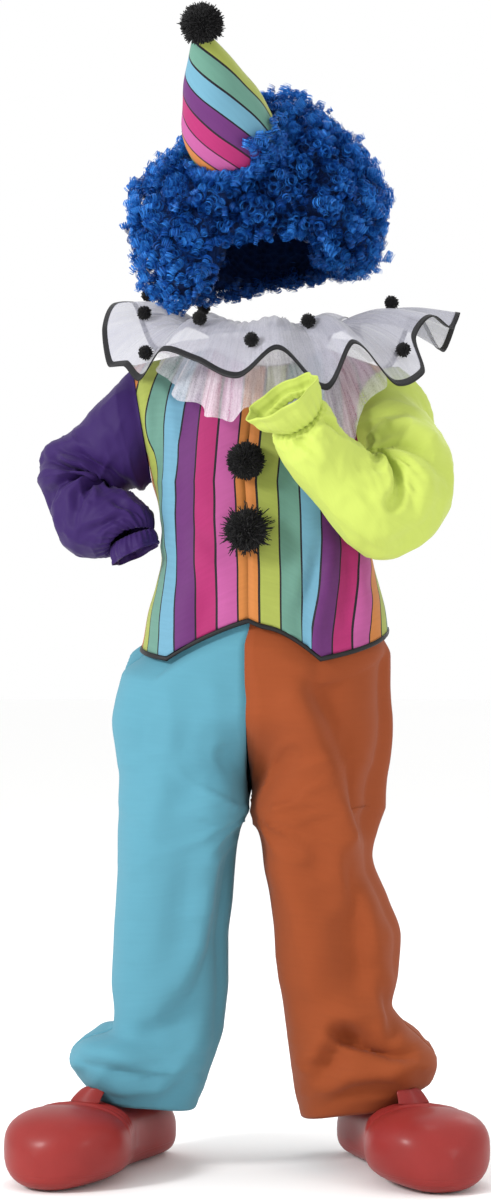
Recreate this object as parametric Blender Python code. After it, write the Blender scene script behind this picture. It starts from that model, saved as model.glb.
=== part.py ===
"""Clown costume, child size 116, as worn by a standing figure that is left out.

The jumpsuit, ruff, wig, hat and shoes are hollow walls around the space of the wearer.
Axes: +Z up, the wearer faces -Y, the wearer's left is +X. The origin is the middle of the neck opening.
Sizes in the tables are millimetres; MM turns them to metres when a mesh is made.
Angles go round the wearer: 0 in front, 90 at the wearer's left, 180 behind, -90 at the wearer's right.
"""

import math

import bmesh
import bpy
from mathutils import Vector
from mathutils.bvhtree import BVHTree

MM = 0.001

# Cloth and making
CLOTH = 1.6            # thickness of the jumpsuit's polyester
TULLE = 1.1            # the ruff's stacked tulle layers
FELT = 2.0             # stiffened fabric of the hat
SEAM = 0.3             # space between two pieces that are sewn together
PANEL_WIDTH = 190      # typical width of a body panel
OVAL = 2.35            # squareness of body sections, where 2 is an ellipse
CROWDED_SEAM = 1.4     # seams of the bodice against others, because its side seams bend more
LEG_SEAM = 0.25        # seams down the legs against others, because front and back lie face to face there

# Levels
UNDERARM = -153
WAIST_TOP = -284       # top edge of the trousers, under the bodice
CROTCH = -509
FLOOR = -905

# Body sections: height, right side, left side, front, back, turn of the body to its right in degrees
TORSO = (
    (-352, -143, 134, -105, 100, 5),
    (-319, -136, 132, -104, 97, 6),
    (-292, -131, 129, -103, 94, 7),
    (-264, -123, 122, -101, 90, 8),
    (-236, -117, 114, -99, 86, 8),
    (-209, -116, 109, -96, 84, 8),
    (-182, -120, 106, -94, 84, 6),
    (-153, -128, 108, -92, 84, 5),
)
HIPS = (
    (-509, -163, 132, -100, 108, 4),
    (-478, -162, 136, -103, 111, 4),
    (-456, -166, 139, -106, 111, 3),
    (-412, -170, 138, -109, 108, 2),
    (-390, -167, 136, -109, 106, 2),
    (-370, -161, 135, -108, 103, 3),
    (-360, -153, 135, -106, 101, 4),
)
HIP_LEVELS = (WAIST_TOP, -315, -348, -362, -388, -418, -448, -478)

# Hem of the bodice: angle from the centre front seam, height
HEM = (
    (-180, -302), (-140, -338), (-100, -313), (-90, -330), (-40, -341),
    (0, -300), (20, -341), (90, -310), (140, -338), (180, -302),
)
BINDING_HEIGHT = 5
BINDING_DEPTH = 2.4
BINDING_PROUD = 0.5
# How far the trousers lie inside the bodice's outer surface: height, depth
TUCK = ((-361, 0.0), (-350, 3.4), (-340, 3.2), (-310, 2.5), (-280, 2.4))

# Neckline, shoulders and armholes
NECK_HALF_WIDTH = 64
NECK_HALF_DEPTH = 58
NECKLINE_FRONT = -28
NECKLINE_SIDE = -4
NECKLINE_BACK = 0
NECKBAND_TOP = 15
NECKBAND_THICK = 2.0
SHOULDER = {"right": (-150, 14, -22), "left": (131, -14, -28)}
SHOULDER_SHARE = 0.46   # part of a panel's top edge that is shoulder seam
ARMHOLE_SCOOP = 40      # how far the armhole is cut into front and back

# Trouser legs below the crotch:
# height at the side seam, height at the inseam, right side, left side, front, back
RIGHT_LEG = (
    (-509, -509, -164, -20, -99, 108),
    (-534, -534, -165, -30, -95, 102),
    (-566, -566, -165, -35, -90, 96),
    (-610, -610, -167, -38, -82, 88),
    (-654, -654, -170, -43, -74, 82),
    (-698, -698, -172, -43, -68, 80),
    (-730, -730, -169, -46, -66, 82),
    (-753, -755, -172, -49, -70, 90),
    (-764, -772, -204, -54, -78, 100),
    (-782, -794, -219, -62, -80, 108),
    (-800, -818, -213, -70, -66, 114),
    (-818, -840, -192, -79, -45, 118),
)
LEFT_LEG = (
    (-509, -509, -18, 131, -97, 108),
    (-534, -534, -7, 122, -94, 102),
    (-560, -560, -2, 116, -90, 96),
    (-610, -610, 4, 134, -84, 88),
    (-649, -649, 9, 147, -78, 84),
    (-690, -690, 12, 144, -70, 80),
    (-724, -724, 16, 137, -66, 80),
    (-745, -748, 19, 150, -68, 88),
    (-766, -770, 22, 172, -74, 98),
    (-784, -792, 25, 186, -74, 106),
    (-803, -818, 29, 183, -62, 113),
    (-822, -840, 36, 158, -44, 118),
)
# Heights where the sections start to part into two legs: at the centre seams, and at the side seams
LEG_SPLIT = {"front": -398, "back": -430, "side": -414}

# Sleeves, one row for each ring from the armhole to the wrist:
# outer edge x, y, z, inner edge x, y, z, half thickness of the ring from front to back
RIGHT_SLEEVE = (
    (-166, 16, -42, -139, 14, -158, 48),
    (-187, 20, -62, -147, 14, -158, 47),
    (-205, 24, -84, -155, 16, -157, 46),
    (-223, 27, -97, -162, 18, -154, 46),
    (-242, 29, -110, -169, 19, -152, 46),
    (-250, 30, -130, -174, 18, -152, 46),
    (-251, 28, -152, -177, 16, -155, 46),
    (-241, 22, -176, -176, 9, -159, 45),
    (-231, 10, -199, -170, 0, -163, 43),
    (-222, -6, -221, -162, -12, -166, 41),
    (-206, -16, -232, -151, -22, -167, 38),
    (-189, -24, -233, -140, -30, -172, 35),
    (-178, -30, -231, -130, -35, -182, 31),
    (-170, -34, -222, -124, -38, -203, 24),
)
RIGHT_FRILL = (
    (-171, -35, -231, -121, -39, -210, 28),
    (-168, -36, -243, -119, -40, -219, 32),
)
LEFT_SLEEVE = (
    (142, -18, -27, 112, -24, -152, 48),
    (160, -26, -46, 114, -46, -146, 47),
    (170, -44, -80, 112, -72, -134, 46),
    (182, -68, -119, 108, -98, -124, 45),
    (191, -85, -150, 108, -112, -124, 46),
    (189, -97, -180, 109, -119, -126, 47),
    (174, -106, -209, 108, -126, -129, 47),
    (148, -114, -228, 106, -132, -129, 47),
    (116, -124, -238, 101, -139, -126, 46),
    (88, -133, -224, 92, -147, -118, 44),
    (60, -144, -191, 80, -156, -108, 41),
    (32, -155, -159, 69, -166, -96, 38),
    (12, -163, -130, 66, -173, -85, 34),
    (5, -170, -110, 59, -181, -77, 28),
    (6, -176, -101, 53, -186, -74, 23),
)
LEFT_FRILL = (
    (-7, -182, -101, 53, -194, -65, 28),
    (-24, -189, -90, 48, -203, -49, 33),
)
FRILL_WAVES = 12
FRILL_WAVE = 3.5

# Main folds: piece, from x, z, to x, z, half width, rise along the outward normal
FOLDS = (
    ("trousers_front_left", 42, -352, 66, -428, 14, -5),
    ("trousers_front_left", 66, -428, 104, -540, 16, -8),
    ("trousers_front_left", 88, -440, 126, -520, 18, 5),
    ("trousers_front_left", 40, -790, 90, -752, 12, -7),
    ("trousers_front_left", 90, -752, 150, -775, 12, -7),
    ("trousers_front_right", -60, -600, -72, -690, 16, -5),
    ("trousers_front_right", -72, -690, -160, -752, 14, -9),
    ("trousers_back_left", 70, -420, 110, -540, 16, -6),
    ("trousers_back_right", -90, -420, -60, -530, 16, -6),
    ("trousers_back_right", -70, -690, -150, -750, 14, -7),
    ("trousers_back_left", 60, -700, 130, -752, 14, -7),
    ("sleeve_right", -176, -152, -238, -124, 10, -6),
    ("sleeve_right", -178, -157, -240, -182, 10, -6),
    ("sleeve_left", 110, -124, 184, -142, 10, -6),
    ("sleeve_left", 118, -134, 164, -205, 11, -7),
)

# Ruff edge, one row for each fold: angle, radius, height
RUFF_CENTRE_X = 8
RUFF_EDGE = (
    (-180, 184, 30), (-168, 186, -18), (-150, 184, 46), (-134, 184, 8), (-120, 183, 56), (-109, 185, 52),
    (-93, 186, 22), (-82, 179, -21), (-71, 171, -22), (-60, 167, -39), (-46, 165, -11), (-30, 167, -24),
    (-14, 174, -43), (0, 168, -14), (17, 174, -55), (28, 170, -7), (46, 177, -48), (60, 178, -34),
    (71, 156, 8), (82, 171, 31), (90, 190, 20), (96, 201, 38), (106, 192, 0), (122, 186, 42),
    (138, 186, -14), (154, 184, 46), (168, 184, -12), (180, 184, 30),
)
RUFF_INNER_HEIGHT = 10
RUFF_LIFT = 20          # how far the flounce arches above a straight line from neck to edge
RIBBON = 4.5
UNDER_EDGE = (
    (-180, 118, -42), (-140, 126, -26), (-100, 134, -4), (-75, 134, -22), (-50, 132, -66), (-30, 127, -84),
    (0, 124, -80), (25, 126, -86), (48, 132, -72), (68, 132, -34), (90, 130, -6), (120, 128, -14),
    (150, 122, -36), (180, 118, -42),
)
UNDER_INNER_HEIGHT = 5
UNDER_GATHERS = 20
UNDER_GATHER = 4.5

# Small pompoms on the ruff: angle, share of the way from neck to edge
RUFF_POMPOMS = (
    (-118, 0.80), (-90, 0.62), (-62, 0.86), (-36, 0.66), (-8, 0.84), (20, 0.48), (57, 0.84),
    (84, 0.60), (112, 0.80), (140, 0.62), (178, 0.78), (-147, 0.62),
)
RUFF_POMPOM_RADIUS = 8.5

# Large pompoms: radius of the wound core and of the strand tips
FRONT_POMPOMS = (("upper", -132, 9, 21), ("lower", -206, 11, 27))
HAT_POMPOM_CORE = 11
HAT_POMPOM_RADIUS = 24
POMPOM_SEAT = 0.9       # share of the core's radius that is left on the side where it is sewn on
LOCK_LENGTHS = (0.86, 1.0, 0.93, 0.97, 0.89)

# Wig: centre, radius of its outline seen from the front at each screen angle, depth, and its lower rim
WIG_CENTRE = (-7, 0, 154)
WIG_OUTLINE = (
    (-90, 116), (-48, 112), (-37, 134), (-25, 150), (-10, 146), (0, 147), (15, 132), (38, 128), (60, 124),
    (76, 126), (100, 120), (125, 114), (144, 114), (164, 136), (185, 152), (207, 156), (225, 160),
    (238, 150.5), (270, 116),
)
WIG_HALF_DEPTH = 134
WIG_RIM = (
    (-180, -48), (-130, -48), (-92, -54), (-62, -52), (-36, -47), (-24, -27), (0, -25), (33, -26), (46, -42),
    (90, -42), (140, -46), (180, -46),
)
WIG_LUMP = 5
HEAD_CENTRE = (-2, 4, 125)
HEAD_RADII = (76, 88, 95)

# Hat: middle of the brim, direction of its axis, and its sizes
HAT_BASE = (-43, -82, 203)
HAT_AXIS = Vector((-0.21, -0.60, 0.77)).normalized()
HAT_RADIUS = 59
HAT_TIP_RADIUS = 4
HAT_LENGTH = 149
HAT_CLEARANCE = 5      # space between the hat and the curls around it

# Shoes: distance from the heel, half width, height
SHOE = (
    (0, 10, 28), (4, 20, 42), (14, 30, 55), (34, 37, 65), (64, 40, 72), (98, 42, 74), (130, 47, 75),
    (162, 55, 77), (190, 62, 79), (218, 64, 82), (244, 60, 80), (268, 48, 66), (283, 30, 45), (289, 14, 30),
)
SHOE_PLACE = {"right": (-123.6, 112.2, -242.6, -139.8), "left": (103, 110, 190, -158)}   # heel x, y, toe x, y
SHOE_REACH = (0, 300)    # from and to, along the shoe
FOOT_REACH = (12, 242)   # room for the foot
SHOE_SOLE = 9
SHOE_WALL = 4
ANKLE = (66, 42, 30)     # distance from the heel, half length, half width of the shoe's opening
ANKLE_CUT = (29, 120)    # heights between which the opening is cut
# Tongue: distance of its foot and of its tip from the heel, height of the tip, half width, thickness,
# how far its edges bend back, and the share of its width that it loses by its tip
TONGUE = (178, 173, 94, 17, 3, 4, 0.25)

# Number of faces
PANEL_COLUMNS = 9       # the same on bodice and trousers, so that their faces lie parallel at the waist
BODICE_LOWER_ROWS = 5
BODICE_UPPER_ROWS = 7
SLEEVE_SIDES = 18
FRILL_SIDES = 36
RUFF_SIDES = 72
UNDER_SIDES = 60
WIG_SIDES = 32
WIG_ROWS = 9
HAT_SIDES = 24
SHOE_SIDES = 16
ANKLE_SIDES = 20


# --- Plain helpers -----------------------------------------------------------------------------------------

def colour(code):
    """Linear colour of an sRGB hex code."""
    parts = [int(code[i:i + 2], 16) / 255 for i in (1, 3, 5)]
    linear = [p / 12.92 if p <= 0.04045 else ((p + 0.055) / 1.055) ** 2.4 for p in parts]
    return (*linear, 1.0)


def material(name, code, roughness):
    """A plain material with the piece's colour."""
    made = bpy.data.materials.get(name) or bpy.data.materials.new(name)
    made.use_nodes = True
    shader = made.node_tree.nodes["Principled BSDF"]
    shader.inputs["Base Color"].default_value = colour(code)
    shader.inputs["Roughness"].default_value = roughness
    shader.inputs["Metallic"].default_value = 0.0
    return made


def smooth_step(value):
    """0 to 1 with level ends."""
    value = min(1.0, max(0.0, value))
    return value * value * (3 - 2 * value)


def row_at(table, key):
    """A table's values at any key, on a curve through its rows that never overshoots them."""
    rows = sorted(table)
    key = min(max(key, rows[0][0]), rows[-1][0])
    i = 0
    while i < len(rows) - 2 and key > rows[i + 1][0]:
        i += 1
    step = rows[i + 1][0] - rows[i][0]
    t = (key - rows[i][0]) / step
    values = []
    for c in range(1, len(rows[0])):
        rise = [(rows[k + 1][c] - rows[k][c]) / (rows[k + 1][0] - rows[k][0]) for k in range(len(rows) - 1)]
        slopes = []
        for k in (i, i + 1):
            before = rise[max(k - 1, 0)]
            after = rise[min(k, len(rise) - 1)]
            slopes.append(0.0 if before * after <= 0 else 2 * before * after / (before + after))
        a, b = rows[i][c], rows[i + 1][c]
        values.append(a * (1 + 2 * t) * (1 - t) ** 2 + b * t * t * (3 - 2 * t)
                      + step * (slopes[0] * t * (1 - t) ** 2 - slopes[1] * t * t * (1 - t)))
    return values


def power(value, exponent):
    """A power that keeps the sign."""
    return math.copysign(abs(value) ** exponent, value)


def trimmed(share, part=1.0):
    """A share of a panel's width, drawn in at both edges by part of half a seam."""
    trim = part * SEAM / 2 / PANEL_WIDTH
    return trim + (1 - 2 * trim) * share


def oval(right_side, left_side, front, back, angle):
    """Point of an oval body section at an angle."""
    turn = math.radians(angle)
    x = (right_side + left_side) / 2 + (left_side - right_side) / 2 * power(math.sin(turn), 2 / OVAL)
    y = (front + back) / 2 - (back - front) / 2 * power(math.cos(turn), 2 / OVAL)
    return x, y


def add_piece(name, points, faces, finish):
    """A named object from points in millimetres, its faces turned outwards."""
    mesh = bpy.data.meshes.new(name)
    mesh.from_pydata([tuple(c * MM for c in p) for p in points], [], faces)
    shape = bmesh.new()
    shape.from_mesh(mesh)
    bmesh.ops.triangulate(shape, faces=shape.faces)
    bmesh.ops.recalc_face_normals(shape, faces=shape.faces)
    shape.to_mesh(mesh)
    shape.free()
    mesh.shade_smooth()
    mesh.set_sharp_from_angle(angle=math.radians(50))
    mesh.materials.append(finish)
    made = bpy.data.objects.new(name, mesh)
    bpy.context.scene.collection.objects.link(made)
    return made


def grid_normals(grid):
    """Unit normals of a ring's points, on the side that column direction x row direction points to."""
    rows, columns = len(grid), len(grid[0])
    normals = []
    for r in range(rows):
        line = []
        for c in range(columns):
            down = grid[min(r + 1, rows - 1)][c] - grid[max(r - 1, 0)][c]
            along = grid[r][(c + 1) % columns] - grid[r][(c - 1) % columns]
            line.append(along.cross(down).normalized())
        normals.append(line)
    return normals


def panel_wall(name, wide, thickness, mirrored, finish, upright_end=False):
    """A panel's closed wall, from a grid one column wider on each side so that seams keep their normals.

    upright_end keeps the last row's edge upright, as where front and back meet on the shoulder.
    """
    if mirrored:
        wide = [line[::-1] for line in wide]
    normals = [line[1:-1] for line in grid_normals(wide)]
    if upright_end:
        normals[-1] = [Vector((n.x, 0, n.z)).normalized() for n in normals[-1]]
    grid = [line[1:-1] for line in wide]
    outer = [[p + n * fold_rise(name, p) for p, n in zip(line, across)]
             for line, across in zip(grid, normals)]
    inner = [[p - n * thickness for p, n in zip(line, across)] for line, across in zip(outer, normals)]
    add_wall(name, outer, inner, False, finish)


def add_wall(name, outer, inner, ring, finish, poles=None):
    """A closed wall between two grids of points; a ring's columns go all the way round.

    Two poles, outer and inner, close the start of a ring over.
    """
    rows, columns = len(outer), len(outer[0])
    count = rows * columns
    points = [p for line in outer for p in line] + [p for line in inner for p in line]
    steps = columns if ring else columns - 1
    faces = []
    for r in range(rows - 1):
        for c in range(steps):
            a, b = r * columns + c, r * columns + (c + 1) % columns
            faces.append((a, b, b + columns, a + columns))
            faces.append((a + count, a + columns + count, b + columns + count, b + count))
    if poles:
        points += poles
    for c in range(steps):
        b = (c + 1) % columns
        last = (rows - 1) * columns
        if poles:
            faces.append((2 * count, b, c))
            faces.append((2 * count + 1, c + count, b + count))
        else:
            faces.append((c, c + count, b + count, b))
        faces.append((last + c, last + b, last + b + count, last + c + count))
    if not ring:
        for r in range(rows - 1):
            for c in (0, columns - 1):
                a = r * columns + c
                faces.append((a, a + columns, a + columns + count, a + count))
    return add_piece(name, points, faces, finish)


def thicken(grid, thickness):
    """The inner grid of a ring's wall, a thickness in from the outer one along its normals."""
    normals = grid_normals(grid)
    return [[p - n * thickness for p, n in zip(line, across)] for line, across in zip(grid, normals)]


def fold_rise(name, point):
    """How far the folds that cross a point lift it along its normal."""
    rise = 0.0
    for piece, x0, z0, x1, z1, half_width, height in FOLDS:
        if piece != name:
            continue
        along = Vector((x1 - x0, z1 - z0))
        away = Vector((point.x - x0, point.z - z0))
        share = min(1.0, max(0.0, away.dot(along) / along.length_squared))
        distance = (away - along * share).length
        rise += height * math.exp(-(distance / half_width) ** 2)
    return rise


# --- Bodice ------------------------------------------------------------------------------------------------

def torso_point(height, angle):
    """Outer surface of the bodice below the underarm; angle 0 is the centre front seam."""
    right_side, left_side, front, back, turn = row_at(TORSO, height)
    return oval(right_side, left_side, front, back, angle - turn)


def hem_height(angle):
    """Height of the bodice's lower edge, straight from point to point."""
    for (a, low), (b, high) in zip(HEM, HEM[1:]):
        if a <= angle <= b:
            return low + (high - low) * (angle - a) / (b - a)
    return HEM[0][1]


def neckline_point(angle):
    """Point on the neckline, lower in front than at the sides and the back."""
    turn = math.radians(angle)
    end = NECKLINE_FRONT if math.cos(turn) > 0 else NECKLINE_BACK
    height = NECKLINE_SIDE + (end - NECKLINE_SIDE) * math.cos(turn) ** 2
    return Vector((NECK_HALF_WIDTH * math.sin(turn), -NECK_HALF_DEPTH * math.cos(turn), height))


def panel_top_point(side, face, across):
    """Top edge of a bodice panel: across 0 is its centre seam and 1 its shoulder point."""
    sign = 1 if side == "left" else -1
    neck_share = 1 - SHOULDER_SHARE
    if across < neck_share:
        swing = 90 * across / neck_share
        return neckline_point(sign * (swing if face == "front" else 180 - swing))
    neck_side = neckline_point(sign * 90)
    return neck_side.lerp(Vector(SHOULDER[side]), (across - neck_share) / SHOULDER_SHARE)


def upper_panel_point(side, face, across, up):
    """Panel above the underarm: up 0 is the underarm level and 1 the shoulder line."""
    sign = 1 if side == "left" else -1
    angle = sign * (90 * across if face == "front" else 180 - 90 * across)
    x, y = torso_point(UNDERARM, angle)
    top = panel_top_point(side, face, across)
    forward = -1 if face == "front" else 1
    roll = math.sqrt(1 - up * up)
    return Vector((
        x + (top.x - x) * up,
        top.y + (y - top.y) * roll + forward * ARMHOLE_SCOOP * math.sin(math.pi * up) * across ** 4,
        UNDERARM + (top.z - UNDERARM) * up,
    ))


def bodice_grid(side, face):
    """Outer points of a bodice panel, from the hem up and from the centre seam to the side."""
    sign = 1 if side == "left" else -1
    places = [trimmed(c / PANEL_COLUMNS, CROWDED_SEAM) for c in range(-1, PANEL_COLUMNS + 2)]
    rows = []
    for r in range(BODICE_LOWER_ROWS):
        line = []
        for across in places:
            angle = sign * (90 * across if face == "front" else 180 - 90 * across)
            low = hem_height(angle)
            height = low + (UNDERARM - low) * r / BODICE_LOWER_ROWS
            line.append(Vector((*torso_point(height, angle), height)))
        rows.append(line)
    forward = -1 if face == "front" else 1
    for r in range(BODICE_UPPER_ROWS + 1):
        line = [upper_panel_point(side, face, across, r / BODICE_UPPER_ROWS) for across in places[:-1]]
        line.append(upper_panel_point(side, face, places[-1], 0) if r == 0 else line[-1] * 2 - line[-2])
        if r == BODICE_UPPER_ROWS:
            line = [point + Vector((0, forward * SEAM, 0)) for point in line]
        rows.append(line)
    return rows


def build_bodice():
    """Four panels and the binding of the hem."""
    finish = material("bodice_striped_polyester", "#CD4182", 0.6)
    for face in ("front", "back"):
        for side in ("right", "left"):
            panel_wall(f"bodice_{face}_{side}", bodice_grid(side, face), CLOTH,
                       (face == "front") == (side == "right"), finish, upright_end=True)
    angles = [-360 * c / (4 * PANEL_COLUMNS) for c in range(4 * PANEL_COLUMNS)]
    edge = []
    for down in (SEAM, SEAM + BINDING_HEIGHT):
        line = []
        for angle in angles:
            height = hem_height((angle + 180) % 360 - 180)
            line.append(Vector((*torso_point(height - down, angle), height - down)))
        edge.append(line)
    outward = grid_normals(edge)
    outer = [[p + n * BINDING_PROUD for p, n in zip(line, across)] for line, across in zip(edge, outward)]
    inner = [[p + n * (BINDING_PROUD - BINDING_DEPTH) for p, n in zip(line, across)]
             for line, across in zip(edge, outward)]
    add_wall("hem_binding", outer, inner, True, material("black_ribbon", "#232326", 0.55))


# --- Trousers ----------------------------------------------------------------------------------------------

def hip_point(height, angle):
    """Outer surface of the trousers above the crotch, tucked inside the bodice where that covers it."""
    right_side, left_side, front, back, turn = row_at(HIPS + TORSO, height)
    tuck = row_at(TUCK, height)[0]
    return oval(right_side + tuck, left_side - tuck, front + tuck, back - tuck, angle - turn)


def trouser_point(side, face, across, height):
    """Outer surface of a trouser panel: across 0 is the side seam and 1 the centre seam or inseam."""
    sign = 1 if side == "left" else -1
    legs = LEFT_LEG if side == "left" else RIGHT_LEG
    inseam, right_side, left_side, front, back = row_at(legs, height)
    round_leg = trimmed(across, LEG_SEAM)
    swing = 90 - 180 * round_leg if face == "front" else 90 + 180 * round_leg
    x, y = oval(right_side, left_side, front, back, sign * swing)
    level = height + (inseam - height) * (1 - math.cos(math.pi * across)) / 2
    if height > CROTCH:
        split = LEG_SPLIT["side"] + (LEG_SPLIT[face] - LEG_SPLIT["side"]) * across
        share = smooth_step((split - height) / (split - CROTCH))
        quarter = trimmed(across)
        angle = sign * (90 * (1 - quarter) if face == "front" else 90 + 90 * quarter)
        hip_x, hip_y = hip_point(height, angle)
        x = hip_x + (x - hip_x) * share
        y = hip_y + (y - hip_y) * share
        level = height
    return Vector((x, y, level))


def trouser_grid(side, face):
    """Outer points of a trouser panel from the waist down and from the side seam inwards."""
    legs = LEFT_LEG if side == "left" else RIGHT_LEG
    heights = list(HIP_LEVELS) + [row[0] for row in legs]
    return [[trouser_point(side, face, c / PANEL_COLUMNS, height) for c in range(-1, PANEL_COLUMNS + 2)]
            for height in heights]


def build_trousers():
    """Front and back of each leg."""
    finishes = {
        "right": material("trousers_blue_polyester", "#6CB0CC", 0.65),
        "left": material("trousers_orange_polyester", "#BE5F37", 0.65),
    }
    for side in ("right", "left"):
        for face in ("front", "back"):
            name = f"trousers_{face}_{side}"
            panel_wall(name, trouser_grid(side, face), CLOTH, (face == "front") == (side == "right"),
                       finishes[side])


# --- Sleeves -----------------------------------------------------------------------------------------------

def sleeve_ring(before, row, after, sides, wave=0.0, waves=FRILL_WAVES):
    """Points round the arm: 0 at the outer edge, then the front, the inner edge and the back."""
    outer, inner, depth = Vector(row[:3]), Vector(row[3:6]), row[6]
    middle = (outer + inner) / 2
    half = (outer - inner) / 2
    along = (Vector(after[:3]) + Vector(after[3:6]) - Vector(before[:3]) - Vector(before[3:6])).normalized()
    forward = half.cross(along).normalized()
    if forward.y > 0:
        forward = -forward
    ring = []
    for k in range(sides):
        turn = 2 * math.pi * k / sides
        grow = 1 + wave * math.sin(waves * turn) / depth
        ring.append(middle + (half * math.cos(turn) + forward * depth * math.sin(turn)) * grow)
    return ring


def armhole_ring(side, sides):
    """The sleeve's first ring, a seam's space outside the edge of the armhole."""
    outward = Vector((1.5 * SEAM if side == "left" else -1.5 * SEAM, 0, 0))
    ring = []
    for k in range(sides):
        half_turn = 2 * k / sides
        face = "front" if half_turn < 1 else "back"
        up = 1 - half_turn if half_turn < 1 else half_turn - 1
        up = min(0.985, max(0.015, up))
        ring.append(upper_panel_point(side, face, 1.0, up) + outward)
    return ring


def drawn_in(rings, thickness):
    """Rings of the inner face, each point moved towards its ring's middle."""
    inner = []
    for ring in rings:
        middle = sum(ring, Vector()) / len(ring)
        inner.append([p + (middle - p).normalized() * thickness for p in ring])
    return inner


def build_sleeve(side, rows, frill, finish):
    """One sleeve from the armhole to the elastic, and the frill beyond it."""
    rings = [armhole_ring(side, SLEEVE_SIDES)]
    for i, row in enumerate(rows):
        rings.append(sleeve_ring(rows[max(i - 1, 0)], row, rows[min(i + 1, len(rows) - 1)], SLEEVE_SIDES))
    name = f"sleeve_{side}"
    for ring in rings[1:-1]:
        middle = sum(ring, Vector()) / len(ring)
        for point in ring:
            point += (point - middle).normalized() * fold_rise(name, point)
    add_wall(name, rings, drawn_in(rings, CLOTH), True, finish)

    wrist = rows[-1]
    ends = (wrist,) + frill
    start = sleeve_ring(rows[-2], wrist, wrist, FRILL_SIDES)
    first = frill[0]
    onward = Vector(first[:3]) + Vector(first[3:6]) - Vector(wrist[:3]) - Vector(wrist[3:6])
    onward.normalize()
    rings = [[p + onward * 1.5 * SEAM for p in start]]
    for i, row in enumerate(frill):
        wave = FRILL_WAVE * (i + 1) / len(frill)
        rings.append(sleeve_ring(ends[i], row, row, FRILL_SIDES, wave))
    add_wall(f"cuff_frill_{side}", rings, drawn_in(rings, CLOTH), True, finish)


# --- Neckband and ruff -------------------------------------------------------------------------------------

def build_neckband():
    """Bound band that stands on the neckline and carries both layers of the ruff."""
    sides = 4 * PANEL_COLUMNS
    low, high = [], []
    for c in range(sides):
        point = neckline_point(-360 * c / sides)
        low.append(point + Vector((0, 0, 1.5 * SEAM)))
        high.append(Vector((point.x, point.y, NECKBAND_TOP)))
    rings = [high, low]
    finish = material("white_binding", "#E1E1E6", 0.8)
    add_wall("neckband", rings, drawn_in(rings, NECKBAND_THICK), True, finish)


def flounce_point(edge_table, inner_height, angle, share, lift, sag):
    """Point of a ruff layer: share 0 is at the neckband and 1 at its edge."""
    radius, height = row_at(edge_table, (angle + 180) % 360 - 180)
    turn = math.radians(angle)
    start = Vector(((NECK_HALF_WIDTH + 3 * SEAM) * math.sin(turn),
                    -(NECK_HALF_DEPTH + 3 * SEAM) * math.cos(turn), inner_height))
    end = Vector((RUFF_CENTRE_X + radius * math.sin(turn), -radius * math.cos(turn), height))
    point = start.lerp(end, share)
    point.z = inner_height + (height - inner_height) * share ** sag + lift * math.sin(math.pi * share)
    return point


def ruff_point(angle, share):
    """Upper surface of the wavy top layer."""
    return flounce_point(RUFF_EDGE, RUFF_INNER_HEIGHT, angle, share, RUFF_LIFT, 1.5)


def build_ruff():
    """Top flounce, its ribbon edge, and the gathered layer under it."""
    tulle = material("white_tulle", "#E1E1E6", 0.7)
    angles = [-360 * c / RUFF_SIDES for c in range(RUFF_SIDES)]
    top = [[ruff_point(angle, share) for angle in angles] for share in (0, 0.3, 0.65, 1)]
    add_wall("ruff_top", top, thicken(top, TULLE), True, tulle)

    edge = []
    for out in (2 * SEAM, 2 * SEAM + RIBBON):
        line = []
        for angle in angles:
            length = (ruff_point(angle, 1) - ruff_point(angle, 0)).length
            line.append(ruff_point(angle, 1 + out / length))
        edge.append(line)
    raised = [[p + n * 0.3 for p, n in zip(line, across)] for line, across in zip(edge, grid_normals(edge))]
    add_wall("ruff_edge", raised, thicken(raised, TULLE + 0.6), True,
             material("black_ribbon", "#232326", 0.55))

    angles = [-360 * c / UNDER_SIDES for c in range(UNDER_SIDES)]
    under = []
    for share in (0, 0.5, 1):
        line = []
        for angle in angles:
            point = flounce_point(UNDER_EDGE, UNDER_INNER_HEIGHT, angle, share, 2, 1.9)
            gather = UNDER_GATHER * share * math.sin(math.radians(angle) * UNDER_GATHERS)
            point += Vector((math.sin(math.radians(angle)), -math.cos(math.radians(angle)), 0)) * gather
            line.append(point)
        under.append(line)
    add_wall("ruff_under", under, thicken(under, TULLE), True, tulle)


def surface(*names):
    """Faces of finished pieces, in millimetres, to measure a distance from."""
    points, faces = [], []
    for name in names:
        mesh = bpy.data.objects[name].data
        faces += [[len(points) + i for i in face.vertices] for face in mesh.polygons]
        points += [vert.co / MM for vert in mesh.vertices]
    return BVHTree.FromPolygons(points, faces)


def build_ruff_pompoms():
    """Small clipped pompoms sewn on the top layer, each let down until it meets the tulle."""
    finish = material("black_yarn", "#1B1B1D", 0.95)
    tulle = surface("ruff_top")
    for i, (angle, share) in enumerate(RUFF_POMPOMS):
        here = ruff_point(angle, share)
        normal = (ruff_point(angle - 2, share) - here).cross(ruff_point(angle, share + 0.05) - here)
        normal.normalize()
        middle = here + normal * (RUFF_POMPOM_RADIUS + SEAM)
        for _ in range(4):
            middle += normal * (RUFF_POMPOM_RADIUS + SEAM - tulle.find_nearest(middle)[3])
        shape = bmesh.new()
        bmesh.ops.create_icosphere(shape, subdivisions=2, radius=RUFF_POMPOM_RADIUS * MM)
        mesh = bpy.data.meshes.new(f"ruff_pompom_{i + 1}")
        shape.to_mesh(mesh)
        shape.free()
        mesh.materials.append(finish)
        ball = bpy.data.objects.new(mesh.name, mesh)
        ball.location = middle * MM
        bpy.context.scene.collection.objects.link(ball)


# --- Large pompoms -----------------------------------------------------------------------------------------

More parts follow.
